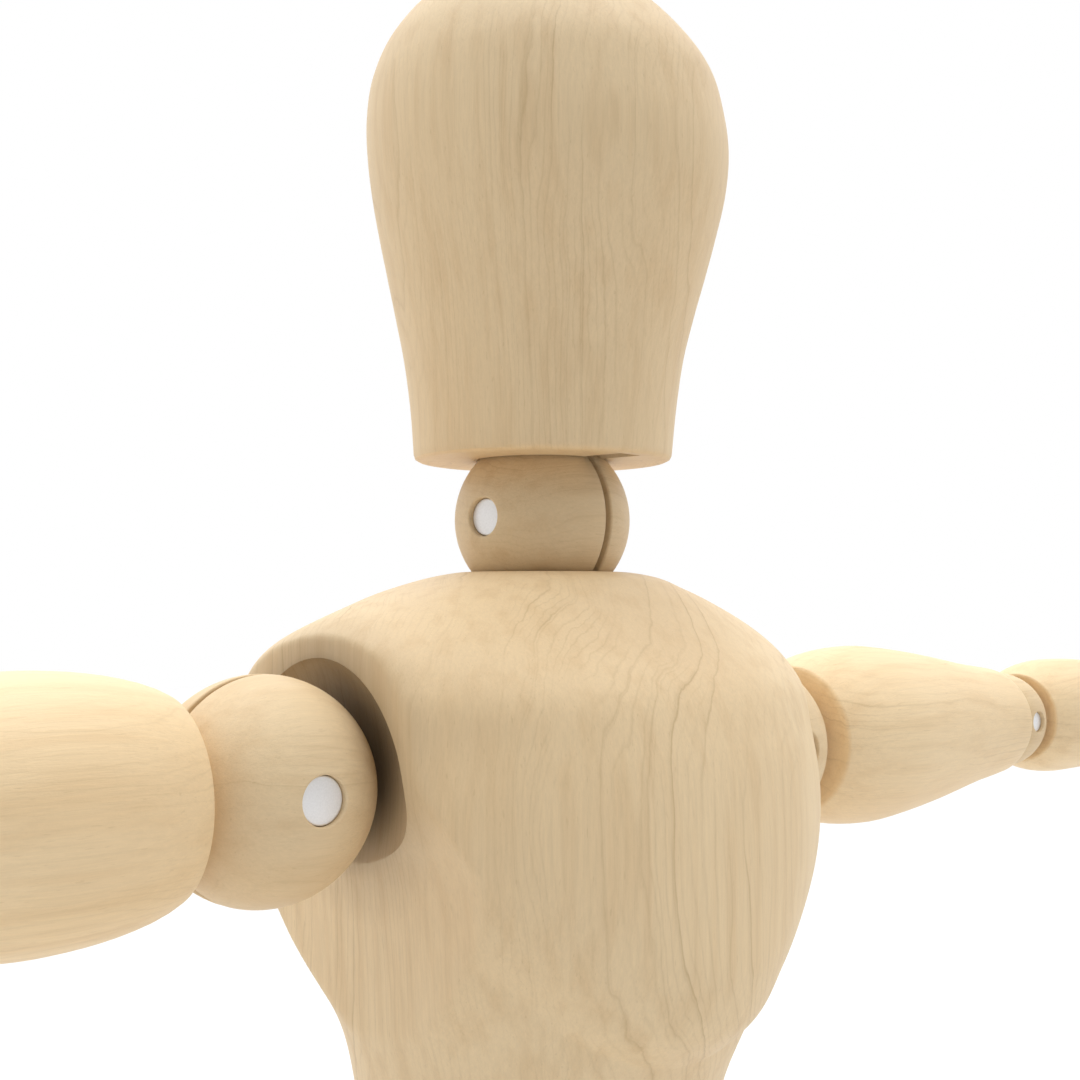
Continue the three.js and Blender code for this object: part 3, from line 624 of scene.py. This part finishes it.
def add_leg(side):
    hip, knee, ankle = (pivot(f"{j}_{side}") for j in ("hip_swing", "knee_bend", "ankle_bend"))
    hip_ball, knee_ball, ankle_ball = (f"{b}_ball_{side}" for b in ("hip", "knee", "ankle"))
    add_ball(hip_ball, hip_ball, hip, X, Z)
    add_ball(knee_ball, knee_ball, knee, X, Z)
    add_ball(ankle_ball, ankle_ball, ankle, X, Z, has_pin=False)
    add_limb(f"thigh_{side}", f"thigh_{side}", hip, knee, (hip_ball, 6.6), knee_ball,
             THIGH, "z", (-24.0, 12.0))
    add_limb(f"shin_{side}", f"shin_{side}", knee, ankle, (knee_ball, 4.5), ankle_ball,
             SHIN, "z", (-16.0, 20.0))
    add_foot(side, ankle)


# ---- Hands and feet -------------------------------------------------------------------------------
# Stations: distance from the wrist, half width, half thickness below and above, exponent, drop.
HAND = smooth_curve([
    (0, 4.0, 3.8, 3.8, 2.0, 0),
    (3, 4.2, 3.8, 3.8, 2.1, 0),
    (7, 5.1, 3.6, 3.6, 2.3, 0),
    (12, 6.3, 3.5, 3.3, 2.4, -0.1),
    (17, 6.7, 3.1, 2.9, 2.4, -0.4),
    (22, 6.2, 2.6, 2.5, 2.4, -0.9),
    (27, 5.2, 2.2, 2.1, 2.3, -1.6),
    (31, 3.9, 1.8, 1.7, 2.2, -2.3),
    (33.2, 1.9, 1.1, 1.0, 2.0, -2.8),
    (34, 0.8, 0.5, 0.5, 2.0, -2.9),
])
THUMB = smooth_curve([
    (5, 0.8, 0.8, 0.8, 2.0, 0),
    (9, 2.2, 2.1, 2.1, 2.0, 0),
    (14, 2.1, 1.9, 1.9, 2.0, 0),
    (18, 1.7, 1.6, 1.6, 2.0, 0),
    (20, 1.1, 1.0, 1.0, 2.0, 0),
    (21, 0.3, 0.3, 0.3, 2.0, 0),
])


def add_hand(side, wrist, out):
    sign = SIDES[side]
    ball = ball_radius(f"wrist_ball_{side}") + FIT

    def field(points):
        t, y, z = sign * (points[..., 0] - wrist[0]), points[..., 1] - wrist[1], points[..., 2] - wrist[2]
        palm = smooth_max(loft(HAND, t, y, z), t - 33.4, 1.2)
        thumb = smooth_max(loft(THUMB, t, y + 1.2 + 0.42 * t, z + 0.8), t - 20.3, 1.0)
        hand = smooth_max(smooth_min(palm, thumb, 1.6), 2.7 - t, 0.6)
        return smooth_max(hand, -sphere(points, wrist, ball), 0.3)

    hand = carved(f"hand_{side}_wood", field, wrist + out * 9.5 - Y * 1.5, out, 150, 150)
    pin_node = f"hand_pin_{side}"
    pin_at = (low(pin_node) + high(pin_node)) / 2
    pin_thickness = float((high(pin_node) - low(pin_node))[0])
    across = Y * 12
    cut_away(
        hand,
        rod_shape("well", wrist, pin_at + out * (pin_thickness / 2 + 1.2), WELL),
        rod_shape("hole", pin_at - across, pin_at + across, pin_thickness / 2 + PIN_GAP),
    )
    material = wood(f"hand_{side}_maple", "x", next(SEEDS), lines=0.35)
    finish(hand, f"hand_{side}", [f"hand_{side}"], material)
    length = float((high(pin_node) - low(pin_node))[1])
    add_pin(pin_node, f"hand_{side}", pin_at, Y, pin_thickness / 2, length)


# Stations: distance in front of the ankle, half width, depth below and above the shift, exponent, shift.
FOOT = smooth_curve([
    (-9.8, 2.4, 2.0, 1.8, 2.4, 2.4),
    (-8.9, 4.3, 3.0, 3.8, 2.6, 3.3),
    (-6, 5.7, 3.6, 5.8, 2.8, 3.7),
    (-2, 6.3, 3.7, 6.6, 2.8, 3.7),
    (3, 6.6, 3.5, 6.1, 2.8, 3.5),
    (8, 7.0, 3.1, 4.9, 2.8, 3.1),
    (14, 7.5, 2.7, 3.7, 2.8, 2.7),
    (20, 7.5, 2.3, 2.9, 2.7, 2.3),
    (25, 6.5, 2.0, 2.2, 2.6, 2.0),
    (28, 4.6, 1.7, 1.6, 2.4, 1.7),
    (29.4, 2.4, 1.3, 1.1, 2.3, 1.6),
])
COLLAR = smooth_curve([(2, 6.2), (5, 6.1), (7.5, 5.5), (9.4, 4.7), (9.9, 4.5)])


def add_foot(side, ankle):
    ball = ball_radius(f"ankle_ball_{side}") + FIT
    sole = low(f"foot_{side}")[2]

    def field(points):
        x, y, z = points[..., 0] - ankle[0], points[..., 1] - ankle[1], points[..., 2] - sole
        shoe = smooth_max(loft(FOOT, -y, x, z), np.maximum(y - 9.4, -y - 29.2), 1.0)
        shoe = smooth_max(shoe, -z + 0.02, 0.8)
        collar = smooth_max(np.hypot(x, y) - COLLAR(z)[0], z - 9.9, 0.6)
        foot = smooth_min(shoe, smooth_max(collar, 1 - z, 0.5), 2.0)
        return smooth_max(foot, -sphere(points, ankle, ball), 0.3)

    foot = carved(f"foot_{side}_wood", field, np.array([ankle[0], -3.0, sole + 3.6]), -Y, 170, 160)
    pin_node = f"foot_pin_{side}"
    pin_at = (low(pin_node) + high(pin_node)) / 2
    pin_thickness = float((high(pin_node) - low(pin_node))[2])
    across = X * 12
    cut_away(
        foot,
        rod_shape("well", ankle, pin_at - Z * (pin_thickness / 2 + 1.2), WELL),
        rod_shape("hole", pin_at - across, pin_at + across, pin_thickness / 2 + PIN_GAP),
    )
    material = wood(f"foot_{side}_maple", "y", next(SEEDS), lines=0.35)
    finish(foot, f"foot_{side}", [f"foot_{side}"], material)
    length = float((high(pin_node) - low(pin_node))[0])
    add_pin(pin_node, f"foot_{side}", pin_at, X, pin_thickness / 2, length)


# ---- Torso ----------------------------------------------------------------------------------------
# Stations: height above the shoulder line, half width, front depth, back depth, exponent, shift.
CHEST = smooth_curve([
    (-22.5, 2.9, 11.1, 8.0, 2.1, 0.5),
    (-20.6, 9.7, 15.1, 9.0, 2.1, 0.5),
    (-18.0, 13.0, 18.5, 11.0, 2.1, 0.5),
    (-14.0, 17.0, 20.2, 13.0, 2.1, 0.5),
    (-9.0, 21.6, 20.4, 15.4, 2.15, 0.5),
    (-3.0, 23.7, 20.4, 17.8, 2.15, 0.5),
    (3.0, 23.2, 19.6, 19.7, 2.15, 0.5),
    (7.0, 23.1, 17.9, 21.0, 2.15, 0.5),
    (10.1, 21.2, 14.8, 17.0, 2.1, 0.5),
    (12.4, 17.3, 12.5, 11.8, 2.0, 0.5),
    (14.0, 12.6, 10.9, 10.0, 2.0, 0.5),
    (15.0, 8.7, 9.2, 7.6, 2.0, 0.3),
    (15.6, 5.7, 5.8, 4.7, 2.0, 0.0),
])
ABDOMEN = smooth_curve([
    (-37.0, 13.7, 11.0, 10.3, 2.0, 0.5),
    (-30.0, 14.6, 12.7, 11.3, 2.0, 0.5),
    (-24.0, 14.9, 14.1, 12.5, 2.1, 0.5),
    (-18.0, 16.7, 16.8, 13.5, 2.1, 0.5),
    (-12.0, 20.7, 17.4, 16.5, 2.2, 0.5),
    (-6.0, 25.0, 16.5, 17.5, 2.3, 0.5),
    (0.0, 24.6, 15.6, 17.5, 2.3, 0.5),
    (8.0, 20.8, 13.0, 15.9, 2.2, 0.5),
    (13.0, 9.8, 8.0, 7.0, 2.0, 0.5),
    (14.6, 1.2, 1.0, 1.0, 2.0, 0.5),
])
TORSO_TOP, TORSO_BOTTOM = 15.3, -36.0
# Stations: height above the shoulder line, how far out the flat side face under the arm stands.
SIDE_FACE = smooth_curve([
    (-37, 16.2),
    (-16, 16.6),
    (-10, 17.1),
    (-7, 17.5),
    (-5, 18.0),
    (-3, 19.0),
    (0.5, 20.3),
    (3, 20.5),
    (16, 20.5),
])
SIDE_EDGE = 0.3  # rounding where a side face meets the chest
RIB_CREASE = 0.15  # rounding where the chest meets the abdomen
DISH_RADIUS = 9.8
DISH_RIM_DEPTH = 0.8  # how far outside the side face its widest part stands
DISH_DROP = 0.7  # how far under the ball's centre its middle is
SOCKET_SHADE_REACH, SOCKET_SHADE_RISE = 14.0, 0.9  # the painted shade round each shoulder socket: its radius, and its middle above that of the ball


def shoulder_dish(shoulder, sign):
    """The cutter for the flattened bowl that a shoulder ball sits in."""
    bottom = sign * shoulder[0] - ball_radius("shoulder_ball_left") - 3 * FIT
    rim_height = 3.0
    widest = float(SIDE_FACE(np.array(rim_height))[0]) + DISH_RIM_DEPTH
    angles = np.linspace(0, math.pi / 2, 40)
    bowl = [(-(widest - bottom) * math.cos(a), DISH_RADIUS * math.sin(a)) for a in angles]
    clear = 6  # past every part of the torso
    outline = bowl + [(clear, DISH_RADIUS), (clear, 0)]
    middle = np.array([sign * widest, shoulder[1], shoulder[2] - DISH_DROP])
    return turned("dish", outline, middle, sign * X, 200)


def add_torso():
    neck_cup = ball_radius("neck_ball") + FIT
    waist_cup = ball_radius("waist_ball") + FIT

    def field(points):
        x, y, z = points[..., 0], points[..., 1], points[..., 2] - SHOULDER_MIDDLE[2]
        body = smooth_min(loft(CHEST, z, x, y), loft(ABDOMEN, z, x, y), RIB_CREASE)
        body = smooth_max(body, np.abs(x) - SIDE_FACE(z)[0], SIDE_EDGE)
        body = smooth_max(body, z - TORSO_TOP, 0.5)
        body = smooth_max(body, TORSO_BOTTOM - z, 1.4)
        body = smooth_max(body, -sphere(points, NECK, neck_cup), CUP_ROUNDING)
        return smooth_max(body, -sphere(points, WAIST, waist_cup), CUP_ROUNDING)

    middle = np.array([0, 0, SHOULDER_MIDDLE[2] - 8])
    torso = carved("torso_wood", field, middle, Z, 330, 400)
    dishes = [shoulder_dish(SHOULDERS[side], sign) for side, sign in SIDES.items()]
    cut_away(
        torso,
        *dishes,
        rod_shape("down", NECK, WAIST, BORE),
        rod_shape("across", SHOULDERS["right"], SHOULDERS["left"], BORE),
    )
    # painted shade darkens the wood round both shoulder sockets
    painted_socket_shade = [(SHOULDERS[side] + SOCKET_SHADE_RISE * Z, SOCKET_SHADE_REACH) for side in SIDES]
    material = wood("torso_maple", "z", next(SEEDS), lines=0.6, shade=TORSO_SHADE, shaded_sockets=painted_socket_shade)
    finish(torso, "torso", ["torso"], material)


# ---- Head -----------------------------------------------------------------------------------------
# Stations: height above the neck ball's centre, half width, front depth, back depth, exponent, shift.
HEAD = smooth_curve([
    (4.0, 10.2, 10.3, 10.2, 2.0, 0),
    (9.5, 10.6, 11.0, 10.7, 2.0, 0),
    (13.0, 11.1, 11.6, 11.2, 2.0, 0),
    (16.0, 11.7, 12.5, 11.8, 2.0, 0),
    (19.2, 12.4, 13.6, 12.4, 2.0, 0),
    (22.4, 13.1, 14.6, 13.0, 2.0, 0),
    (25.5, 13.7, 15.4, 13.5, 2.0, 0),
    (28.7, 14.1, 15.6, 13.9, 2.0, 0),
    (32.0, 14.1, 15.0, 14.2, 2.0, 0),
    (35.3, 13.5, 13.9, 14.0, 2.0, 0),
    (38.7, 11.9, 11.4, 12.7, 2.0, 0),
    (42.2, 8.7, 7.8, 9.6, 2.0, 0),
    (44.4, 5.6, 5.0, 6.1, 2.0, 0),
    (45.4, 3.1, 2.9, 3.4, 2.0, 0),
    (45.8, 0.6, 0.6, 0.6, 2.0, 0),
])
NOTCH_SIZE = (2.4, 9.0, 5.0)  # room for the wire at the front of the cup: along the pin, deep, high
NOTCH_FORWARD, NOTCH_RISE = 4.6, 6.2
SCREW_HOLE_DEPTH = 22


def add_head():
    cup = ball_radius("neck_ball") + FIT
    base, crown = float(low("head")[2] - NECK[2]), float(high("head")[2] - NECK[2])

    def field(points):
        x, y, z = points[..., 0] - NECK[0], points[..., 1] - NECK[1], points[..., 2] - NECK[2]
        body = smooth_max(loft(HEAD, z, x, y), base - z, 0.5)
        body = smooth_max(body, z - crown, 0.5)
        return smooth_max(body, -sphere(points, NECK, cup), CUP_ROUNDING)

    head = carved("head_wood", field, NECK + Z * 22, Z, 230, 256)
    pin_axis = np.array(JOINTS["head_nod"]["axis"])
    facing = np.cross(Z, pin_axis)
    notch_at = NECK - facing * NOTCH_FORWARD + Z * NOTCH_RISE
    cut_away(
        head,
        slab("notch", notch_at, (pin_axis, facing, Z), NOTCH_SIZE),
        rod_shape("bore", NECK, NECK + Z * SCREW_HOLE_DEPTH, 1.0),
    )
    material = wood("head_maple", "z", next(SEEDS), ring=1.3, shade=HEAD_SHADE)
    finish(head, "head", ["head"], material)


# ---- Pelvis ---------------------------------------------------------------------------------------
# Stations: height above the hip line, half width, front depth, back depth, exponent, shift.
PELVIS = smooth_curve([
    (1.5, 18.8, 10.6, 11.2, 2.3, 0),
    (3.6, 20.2, 12.0, 12.8, 2.3, 0),
    (7.5, 20.8, 12.9, 13.8, 2.3, 0),
    (12.0, 19.9, 13.1, 13.8, 2.2, 0),
    (17.0, 18.0, 12.6, 12.8, 2.2, 0),
    (22.0, 15.9, 11.9, 11.7, 2.1, 0),
    (28.0, 13.9, 10.8, 10.6, 2.0, 0),
])
CROTCH = smooth_curve([
    (-4.6, 3.3, 5.2, 5.2, 2.3, 0),
    (-2, 4.2, 7.4, 7.4, 2.3, 0),
    (3, 4.5, 9.8, 10.2, 2.3, 0),
    (8, 4.5, 11, 11, 2.3, 0),
])
PELVIS_BOTTOM, PELVIS_TOP, CROTCH_BOTTOM, CROTCH_TOP = 2.5, 27.5, -4.5, 8
PELVIS_BORE_DEPTH = 16.8


def add_pelvis():
    hips = [pivot(f"hip_swing_{side}") for side in SIDES]
    hip_cup = ball_radius("hip_ball_left") + 2 * FIT
    waist_cup = ball_radius("waist_ball") + FIT
    hip_z = hips[0][2]

    def field(points):
        x, y, z = points[..., 0], points[..., 1], points[..., 2] - hip_z
        block = smooth_max(loft(PELVIS, z, x, y), PELVIS_BOTTOM - z, 1.6)
        crotch = smooth_max(loft(CROTCH, z, x, y), CROTCH_BOTTOM - z, 1.0)
        body = smooth_min(block, smooth_max(crotch, z - CROTCH_TOP, 1.0), 1.6)
        body = smooth_max(body, z - PELVIS_TOP, 1.2)
        for hip in hips:
            body = smooth_max(body, -sphere(points, hip, hip_cup), 0.5)
        return smooth_max(body, -sphere(points, WAIST, waist_cup), CUP_ROUNDING)

    pelvis = carved("pelvis_wood", field, np.array([0, 0, hip_z + 12.5]), Z, 260, 288)
    hole_bottom = Z * (hip_z - 9)
    hole_top = Z * (high("support_rod")[2] + 0.3)
    cut_away(
        pelvis,
        rod_shape("rod_hole", hole_bottom, hole_top, ROD_RADIUS + PIN_GAP),
        rod_shape("bore", WAIST - Z * PELVIS_BORE_DEPTH, WAIST, BORE),
    )
    material = wood("pelvis_maple", "z", next(SEEDS))
    finish(pelvis, "pelvis", ["pelvis"], material)


# ---- Stand ----------------------------------------------------------------------------------------
def add_stand():
    radius = float((high("base") - low("base"))[0]) / 2
    top = float(high("base")[2])
    rod_foot = float(low("support_rod")[2])
    hole = ROD_RADIUS + PIN_GAP
    hole_bottom = rod_foot - 0.3
    rim = radius - 0.05
    step_height = top - 4.2  # where the moulded edge steps in
    corners = [
        (0, 0, 0),
        (0, radius - 1.2, 0.5),
        (1.2, rim, 0.6),
        (step_height, rim, 0.6),
        (step_height, radius - 1.2, 0.3),
        (top, radius - 3.4, 3.0),
        (top, hole, 0.3),
        (hole_bottom, hole, 0),
        (hole_bottom, 0, 0),
    ]
    base = turned("base_wood", rounded(corners, 12), np.zeros(3), Z, 192)
    material = wood("base_maple", "x", next(SEEDS), ring=2.2, pith=(-20.0, 90.0), lines=0.6)
    finish(base, "stand", ["base"], material)
    length = float(high("support_rod")[2]) - rod_foot
    ends = [(0, 0, 0), (0, ROD_RADIUS, 0.3), (length, ROD_RADIUS, 0.8), (length, 0, 0)]
    rod = turned("support_rod_steel", rounded(ends), np.array([0, 0, rod_foot]), Z, 64)
    material = steel("drawn_rod", (0.70, 0.71, 0.72), 0.24, next(SEEDS), (1, 1, 0.04))
    finish(rod, "rod", ["support_rod"], material)


# ---- Springs --------------------------------------------------------------------------------------
def eye_path(centre, away, pin_axis, pin, shift):
    """Round a pin, from the side that faces `away` and back to it."""
    radius = pin + EYE_GAP + WIRE
    centre = centre + pin_axis * shift
    across = np.cross(pin_axis, away)
    turns = np.radians(np.linspace(-300, 0, 26))
    return [centre + radius * (math.cos(t) * away + math.sin(t) * across) for t in turns]


def coil_path(start, end):
    """Close-wound turns, which grow out of the straight wire and back into it."""
    axis, side, other = frame_of(end - start)
    length = float(np.linalg.norm(end - start))
    radius = COIL - WIRE
    turns = length / COIL_PITCH
    steps = max(8, round(turns * COIL_STEPS))
    path = []
    for i in range(steps + 1):
        share = i / steps
        grow = min(1, share * turns / 0.6, (1 - share) * turns / 0.6)
        angle = 2 * math.pi * turns * share
        around = math.cos(angle) * side + math.sin(angle) * other
        path.append(start + axis * (length * share) + around * radius * grow)
    return path


def spring_path(start, end, coils):
    """Straight legs with coils between pairs of shares of the way."""
    path = [start]
    for a, b in coils:
        path.extend(coil_path(start + (end - start) * a, start + (end - start) * b))
    path.append(end)
    return path


def densified(path):
    """The same path with no step longer than PATH_STEP."""
    result = [path[0]]
    for a, b in zip(path, path[1:]):
        count = max(1, math.ceil(float(np.linalg.norm(b - a)) / PATH_STEP))
        result.extend(a + (b - a) * i / count for i in range(1, count + 1))
    return result


def add_spring(name, nodes, body, ends, coils, pin_axis):
    """A wire between two ends. An end is (point, pin radius or None for a plain end, shift along its pin)."""
    (start, start_pin, start_shift), (end, end_pin, end_shift) = ends
    way = (end - start) / np.linalg.norm(end - start)
    first = start + pin_axis * start_shift
    last = end + pin_axis * end_shift
    path = []
    if start_pin:
        path.extend(eye_path(start, way, pin_axis, start_pin, start_shift))
        first = path[-1]
    tail = []
    if end_pin:
        tail = eye_path(end, -way, pin_axis, end_pin, end_shift)[::-1]
        last = tail[0]
    path = path[:-1] + densified(spring_path(first, last, coils)) + tail[1:]
    spring = swept(name, path, WIRE, 7)
    finish(spring, body, nodes, SPRING_STEEL)


def pin_radius(ball):
    return ball_radius(ball) * PIN_SHARE


def bending(body, next_body, start, end):
    """What a wire rides on that bends between two points, in millimetres, from one body to the next."""
    return body, next_body, tuple(start * MM), tuple(end * MM)


def add_springs():
    junction = WAIST - Z * JUNCTION_DROP
    waist_pin, neck_pin = pin_radius("waist_ball"), pin_radius("neck_ball")
    add_spring(
        "torso_spring_wire",
        ["torso_spring"],
        bending("torso", "neck_ball", WAIST + Z * 10, NECK - Z * 8),
        ((WAIST, waist_pin, HOOK_SHIFT), (NECK, neck_pin, -HOOK_SHIFT)),
        [(0.18, 0.52)],
        X,
    )
    add_spring(
        "pelvis_spring_wire",
        ["pelvis_spring"],
        bending("pelvis", "waist_ball", WAIST - Z * 12, WAIST - Z * 5),
        ((junction, WIRE, HOOK_SHIFT), (WAIST, waist_pin, -HOOK_SHIFT)),
        [(0.15, 0.32)],
        X,
    )
    hook = eye_path(NECK, Z, np.array(JOINTS["head_nod"]["axis"]), neck_pin, HOOK_SHIFT)
    stem = densified([hook[-1], NECK + Z * 9, NECK + Z * 21])
    screw = swept("head_screw_eye_wire", hook[:-1] + stem, WIRE * 1.2, 10)
    finish(screw, "head_link", ["head_screw_eye"], SPRING_STEEL)
    for side, sign in SIDES.items():
        add_arm_springs(side, sign * X)
        add_hip_wire(side, junction)
        add_leg_springs(side)


def add_end_wire(name, body, start, pin_node, thick_axis, pin_axis):
    """The last stretch of a limb's wire, from the small ball's middle round the pin in the hand or foot."""
    pin_at = (low(pin_node) + high(pin_node)) / 2
    radius = float((high(pin_node) - low(pin_node)) @ thick_axis) / 2
    add_spring(name, [], body, ((start, None, 0), (pin_at, radius, 0)), [], pin_axis)


def add_arm_springs(side, out):
    shoulder, elbow, wrist = (pivot(f"{j}_{side}") for j in ("shoulder_swing", "elbow_bend", "wrist_bend"))
    shoulder_pin, elbow_pin = (pin_radius(f"{b}_ball_{side}") for b in ("shoulder", "elbow"))
    chest_middle = np.array([0, *shoulder[1:]])
    bend_start = chest_middle + Y * HOOK_SHIFT + out * 3
    # the spring across the torso shows as two halves, one for each shoulder's turn
    add_spring(
        f"shoulder_spring_{side}_wire",
        ["shoulder_spring"],
        bending("torso", f"shoulder_ball_{side}", bend_start, shoulder - out * 8),
        ((chest_middle, None, HOOK_SHIFT), (shoulder, shoulder_pin, HOOK_SHIFT)),
        [(0.16, 0.64)],
        Y,
    )
    add_spring(
        f"upper_arm_spring_{side}_wire",
        [f"upper_arm_spring_{side}"],
        bending(f"upper_arm_{side}", f"elbow_ball_{side}", shoulder + out * 12, elbow - out * 5),
        ((shoulder, shoulder_pin, HOOK_SHIFT), (elbow, elbow_pin, -HOOK_SHIFT)),
        [(0.25, 0.7)],
        -Y,
    )
    add_spring(
        f"forearm_spring_{side}_wire",
        [f"forearm_spring_{side}"],
        bending(f"forearm_{side}", f"wrist_ball_{side}", elbow + out * 8, wrist - out * 4),
        ((elbow, elbow_pin, HOOK_SHIFT), (wrist, None, 0)),
        [(0.22, 0.78)],
        -Y,
    )
    add_end_wire(f"forearm_spring_end_{side}_wire", f"hand_{side}", wrist, f"hand_pin_{side}", X, -Y)


def add_hip_wire(side, junction):
    """From the hip ball's pin up and in to the hook under the waist."""
    ball = f"hip_ball_{side}"
    hip = pivot(f"hip_swing_{side}")
    bend = hip + Z * (ball_radius(ball) + 2)
    hook = eye_path(hip, Z, X, pin_radius(ball), -HOOK_SHIFT)
    route = densified([hook[-1], bend - X * HOOK_SHIFT, junction + (bend - junction) * 0.2])
    wire = swept(f"hip_wire_{side}_wire", hook[:-1] + route, WIRE, 7)
    blend = bending("pelvis", ball, bend + Z, hip - X * HOOK_SHIFT + Z * 3)
    finish(wire, blend, [f"hip_wire_{side}"], SPRING_STEEL)


def add_leg_springs(side):
    hip, knee, ankle = (pivot(f"{j}_{side}") for j in ("hip_swing", "knee_bend", "ankle_bend"))
    hip_pin, knee_pin = (pin_radius(f"{b}_ball_{side}") for b in ("hip", "knee"))
    add_spring(
        f"thigh_spring_{side}_wire",
        [f"thigh_spring_{side}"],
        bending(f"thigh_{side}", f"knee_ball_{side}", hip - Z * 12, knee + Z * 6),
        ((hip, hip_pin, HOOK_SHIFT), (knee, knee_pin, -HOOK_SHIFT)),
        [(0.25, 0.7)],
        X,
    )
    add_spring(
        f"shin_spring_{side}_wire",
        [f"shin_spring_{side}"],
        bending(f"shin_{side}", f"ankle_ball_{side}", knee - Z * 10, ankle + Z * 5),
        ((knee, knee_pin, HOOK_SHIFT), (ankle, None, 0)),
        [(0.22, 0.78)],
        X,
    )
    add_end_wire(f"shin_spring_end_{side}_wire", f"foot_{side}", ankle, f"foot_pin_{side}", Z, X)


# ---- Camera, light and floor ----------------------------------------------------------------------
CAMERA_AZIMUTH, CAMERA_PITCH = -42.65, 2.53
CAMERA_PLACE = (-81.45, -89.16, 12.63)  # from the point midway between the shoulders
WALL_LIGHT, CAMERA_SIDE_LIGHT, ZENITH_LIGHT = 0.96, 0.0, 0.85
LIGHT_FALL = (-0.2, 0.75)  # where the walls' light falls off, as a cosine with the camera's side
OVERHEAD_POWER, OVERHEAD_SIZE, OVERHEAD_PLACE = 3.6, 0.8, (0.0, 0.1, 0.8)  # metres from the chest


def add_camera():
    camera = bpy.data.cameras.new("camera")
    camera.lens = 50
    camera.sensor_width = 36
    camera.clip_start = 0.005
    holder = bpy.data.objects.new("camera", camera)
    holder.location = (SHOULDER_MIDDLE + CAMERA_PLACE) * MM
    holder.rotation_euler = (math.radians(90 + CAMERA_PITCH), 0, math.radians(CAMERA_AZIMUTH))
    bpy.context.scene.collection.objects.link(holder)
    bpy.context.scene.camera = holder


def add_area(name, place, target, size, power):
    """A square light that faces its target."""
    light = bpy.data.lights.new(name, "AREA")
    light.size = size
    light.energy = power
    holder = bpy.data.objects.new(name, light)
    holder.location = place
    way = np.array(target) - np.array(place)
    yaw = math.atan2(-way[0], way[1])
    pitch = math.atan2(way[2], math.hypot(way[0], way[1]))
    holder.rotation_euler = (math.pi / 2 + pitch, 0, yaw)
    bpy.context.scene.collection.objects.link(holder)


def add_light():
    """A white studio: the walls light the figure from all round, less from the camera's side."""
    world = bpy.data.worlds.new("studio")
    world.use_nodes = True
    bpy.context.scene.world = world
    tree = world.node_tree
    background = tree.nodes["Background"]
    background.inputs["Color"].default_value = (1, 1, 1, 1)
    way = tree.nodes.new("ShaderNodeTexCoord").outputs["Generated"]
    toward = tree.nodes.new("ShaderNodeVectorMath")
    toward.operation = "DOT_PRODUCT"
    yaw = math.radians(CAMERA_AZIMUTH)
    toward.inputs[1].default_value = (math.sin(yaw), -math.cos(yaw), 0)
    tree.links.new(way, toward.inputs[0])
    fall = tree.nodes.new("ShaderNodeMapRange")
    fall.inputs["From Min"].default_value = LIGHT_FALL[0]
    fall.inputs["From Max"].default_value = LIGHT_FALL[1]
    fall.inputs["To Min"].default_value = WALL_LIGHT
    fall.inputs["To Max"].default_value = CAMERA_SIDE_LIGHT
    tree.links.new(toward.outputs["Value"], fall.inputs["Value"])
    height = tree.nodes.new("ShaderNodeSeparateXYZ")
    tree.links.new(way, height.inputs[0])
    above = tree.nodes.new("ShaderNodeMath")
    above.operation = "MAXIMUM"
    above.inputs[1].default_value = 0.0
    tree.links.new(height.outputs["Z"], above.inputs[0])
    both = tree.nodes.new("ShaderNodeMath")
    both.operation = "MULTIPLY_ADD"
    both.inputs[1].default_value = ZENITH_LIGHT
    tree.links.new(above.outputs[0], both.inputs[0])
    tree.links.new(fall.outputs["Result"], both.inputs[2])
    seen = tree.nodes.new("ShaderNodeLightPath").outputs["Is Camera Ray"]
    pick = tree.nodes.new("ShaderNodeMix")
    tree.links.new(seen, pick.inputs[0])
    tree.links.new(both.outputs[0], pick.inputs[2])
    pick.inputs[3].default_value = 1.0
    tree.links.new(pick.outputs[0], background.inputs["Strength"])
    chest = SHOULDER_MIDDLE * MM
    add_area("overhead", chest + np.array(OVERHEAD_PLACE), chest, OVERHEAD_SIZE, OVERHEAD_POWER)


def add_floor():
    reach = 4.0
    corners = [(-reach, -reach, 0), (reach, -reach, 0), (reach, reach, 0), (-reach, reach, 0)]
    floor = make("floor", np.array(corners) / MM, [[0, 1, 2, 3]])
    floor.data.materials.append(floor_paint())


SPRING_STEEL = steel("spring_wire", (0.55, 0.56, 0.57), 0.3, next(SEEDS))
add_stand()
add_pelvis()
add_torso()
add_head()
add_ball("neck_ball", "neck_ball", NECK, np.array(JOINTS["head_nod"]["axis"]), Z, shade=NECK_SHADE)
add_ball("waist_ball", "waist_ball", WAIST, X, Z)
for each_side in SIDES:
    add_arm(each_side)
    add_leg(each_side)
add_springs()
add_camera()
add_light()
add_floor()
bpy.context.scene.view_settings.view_transform = "Standard"
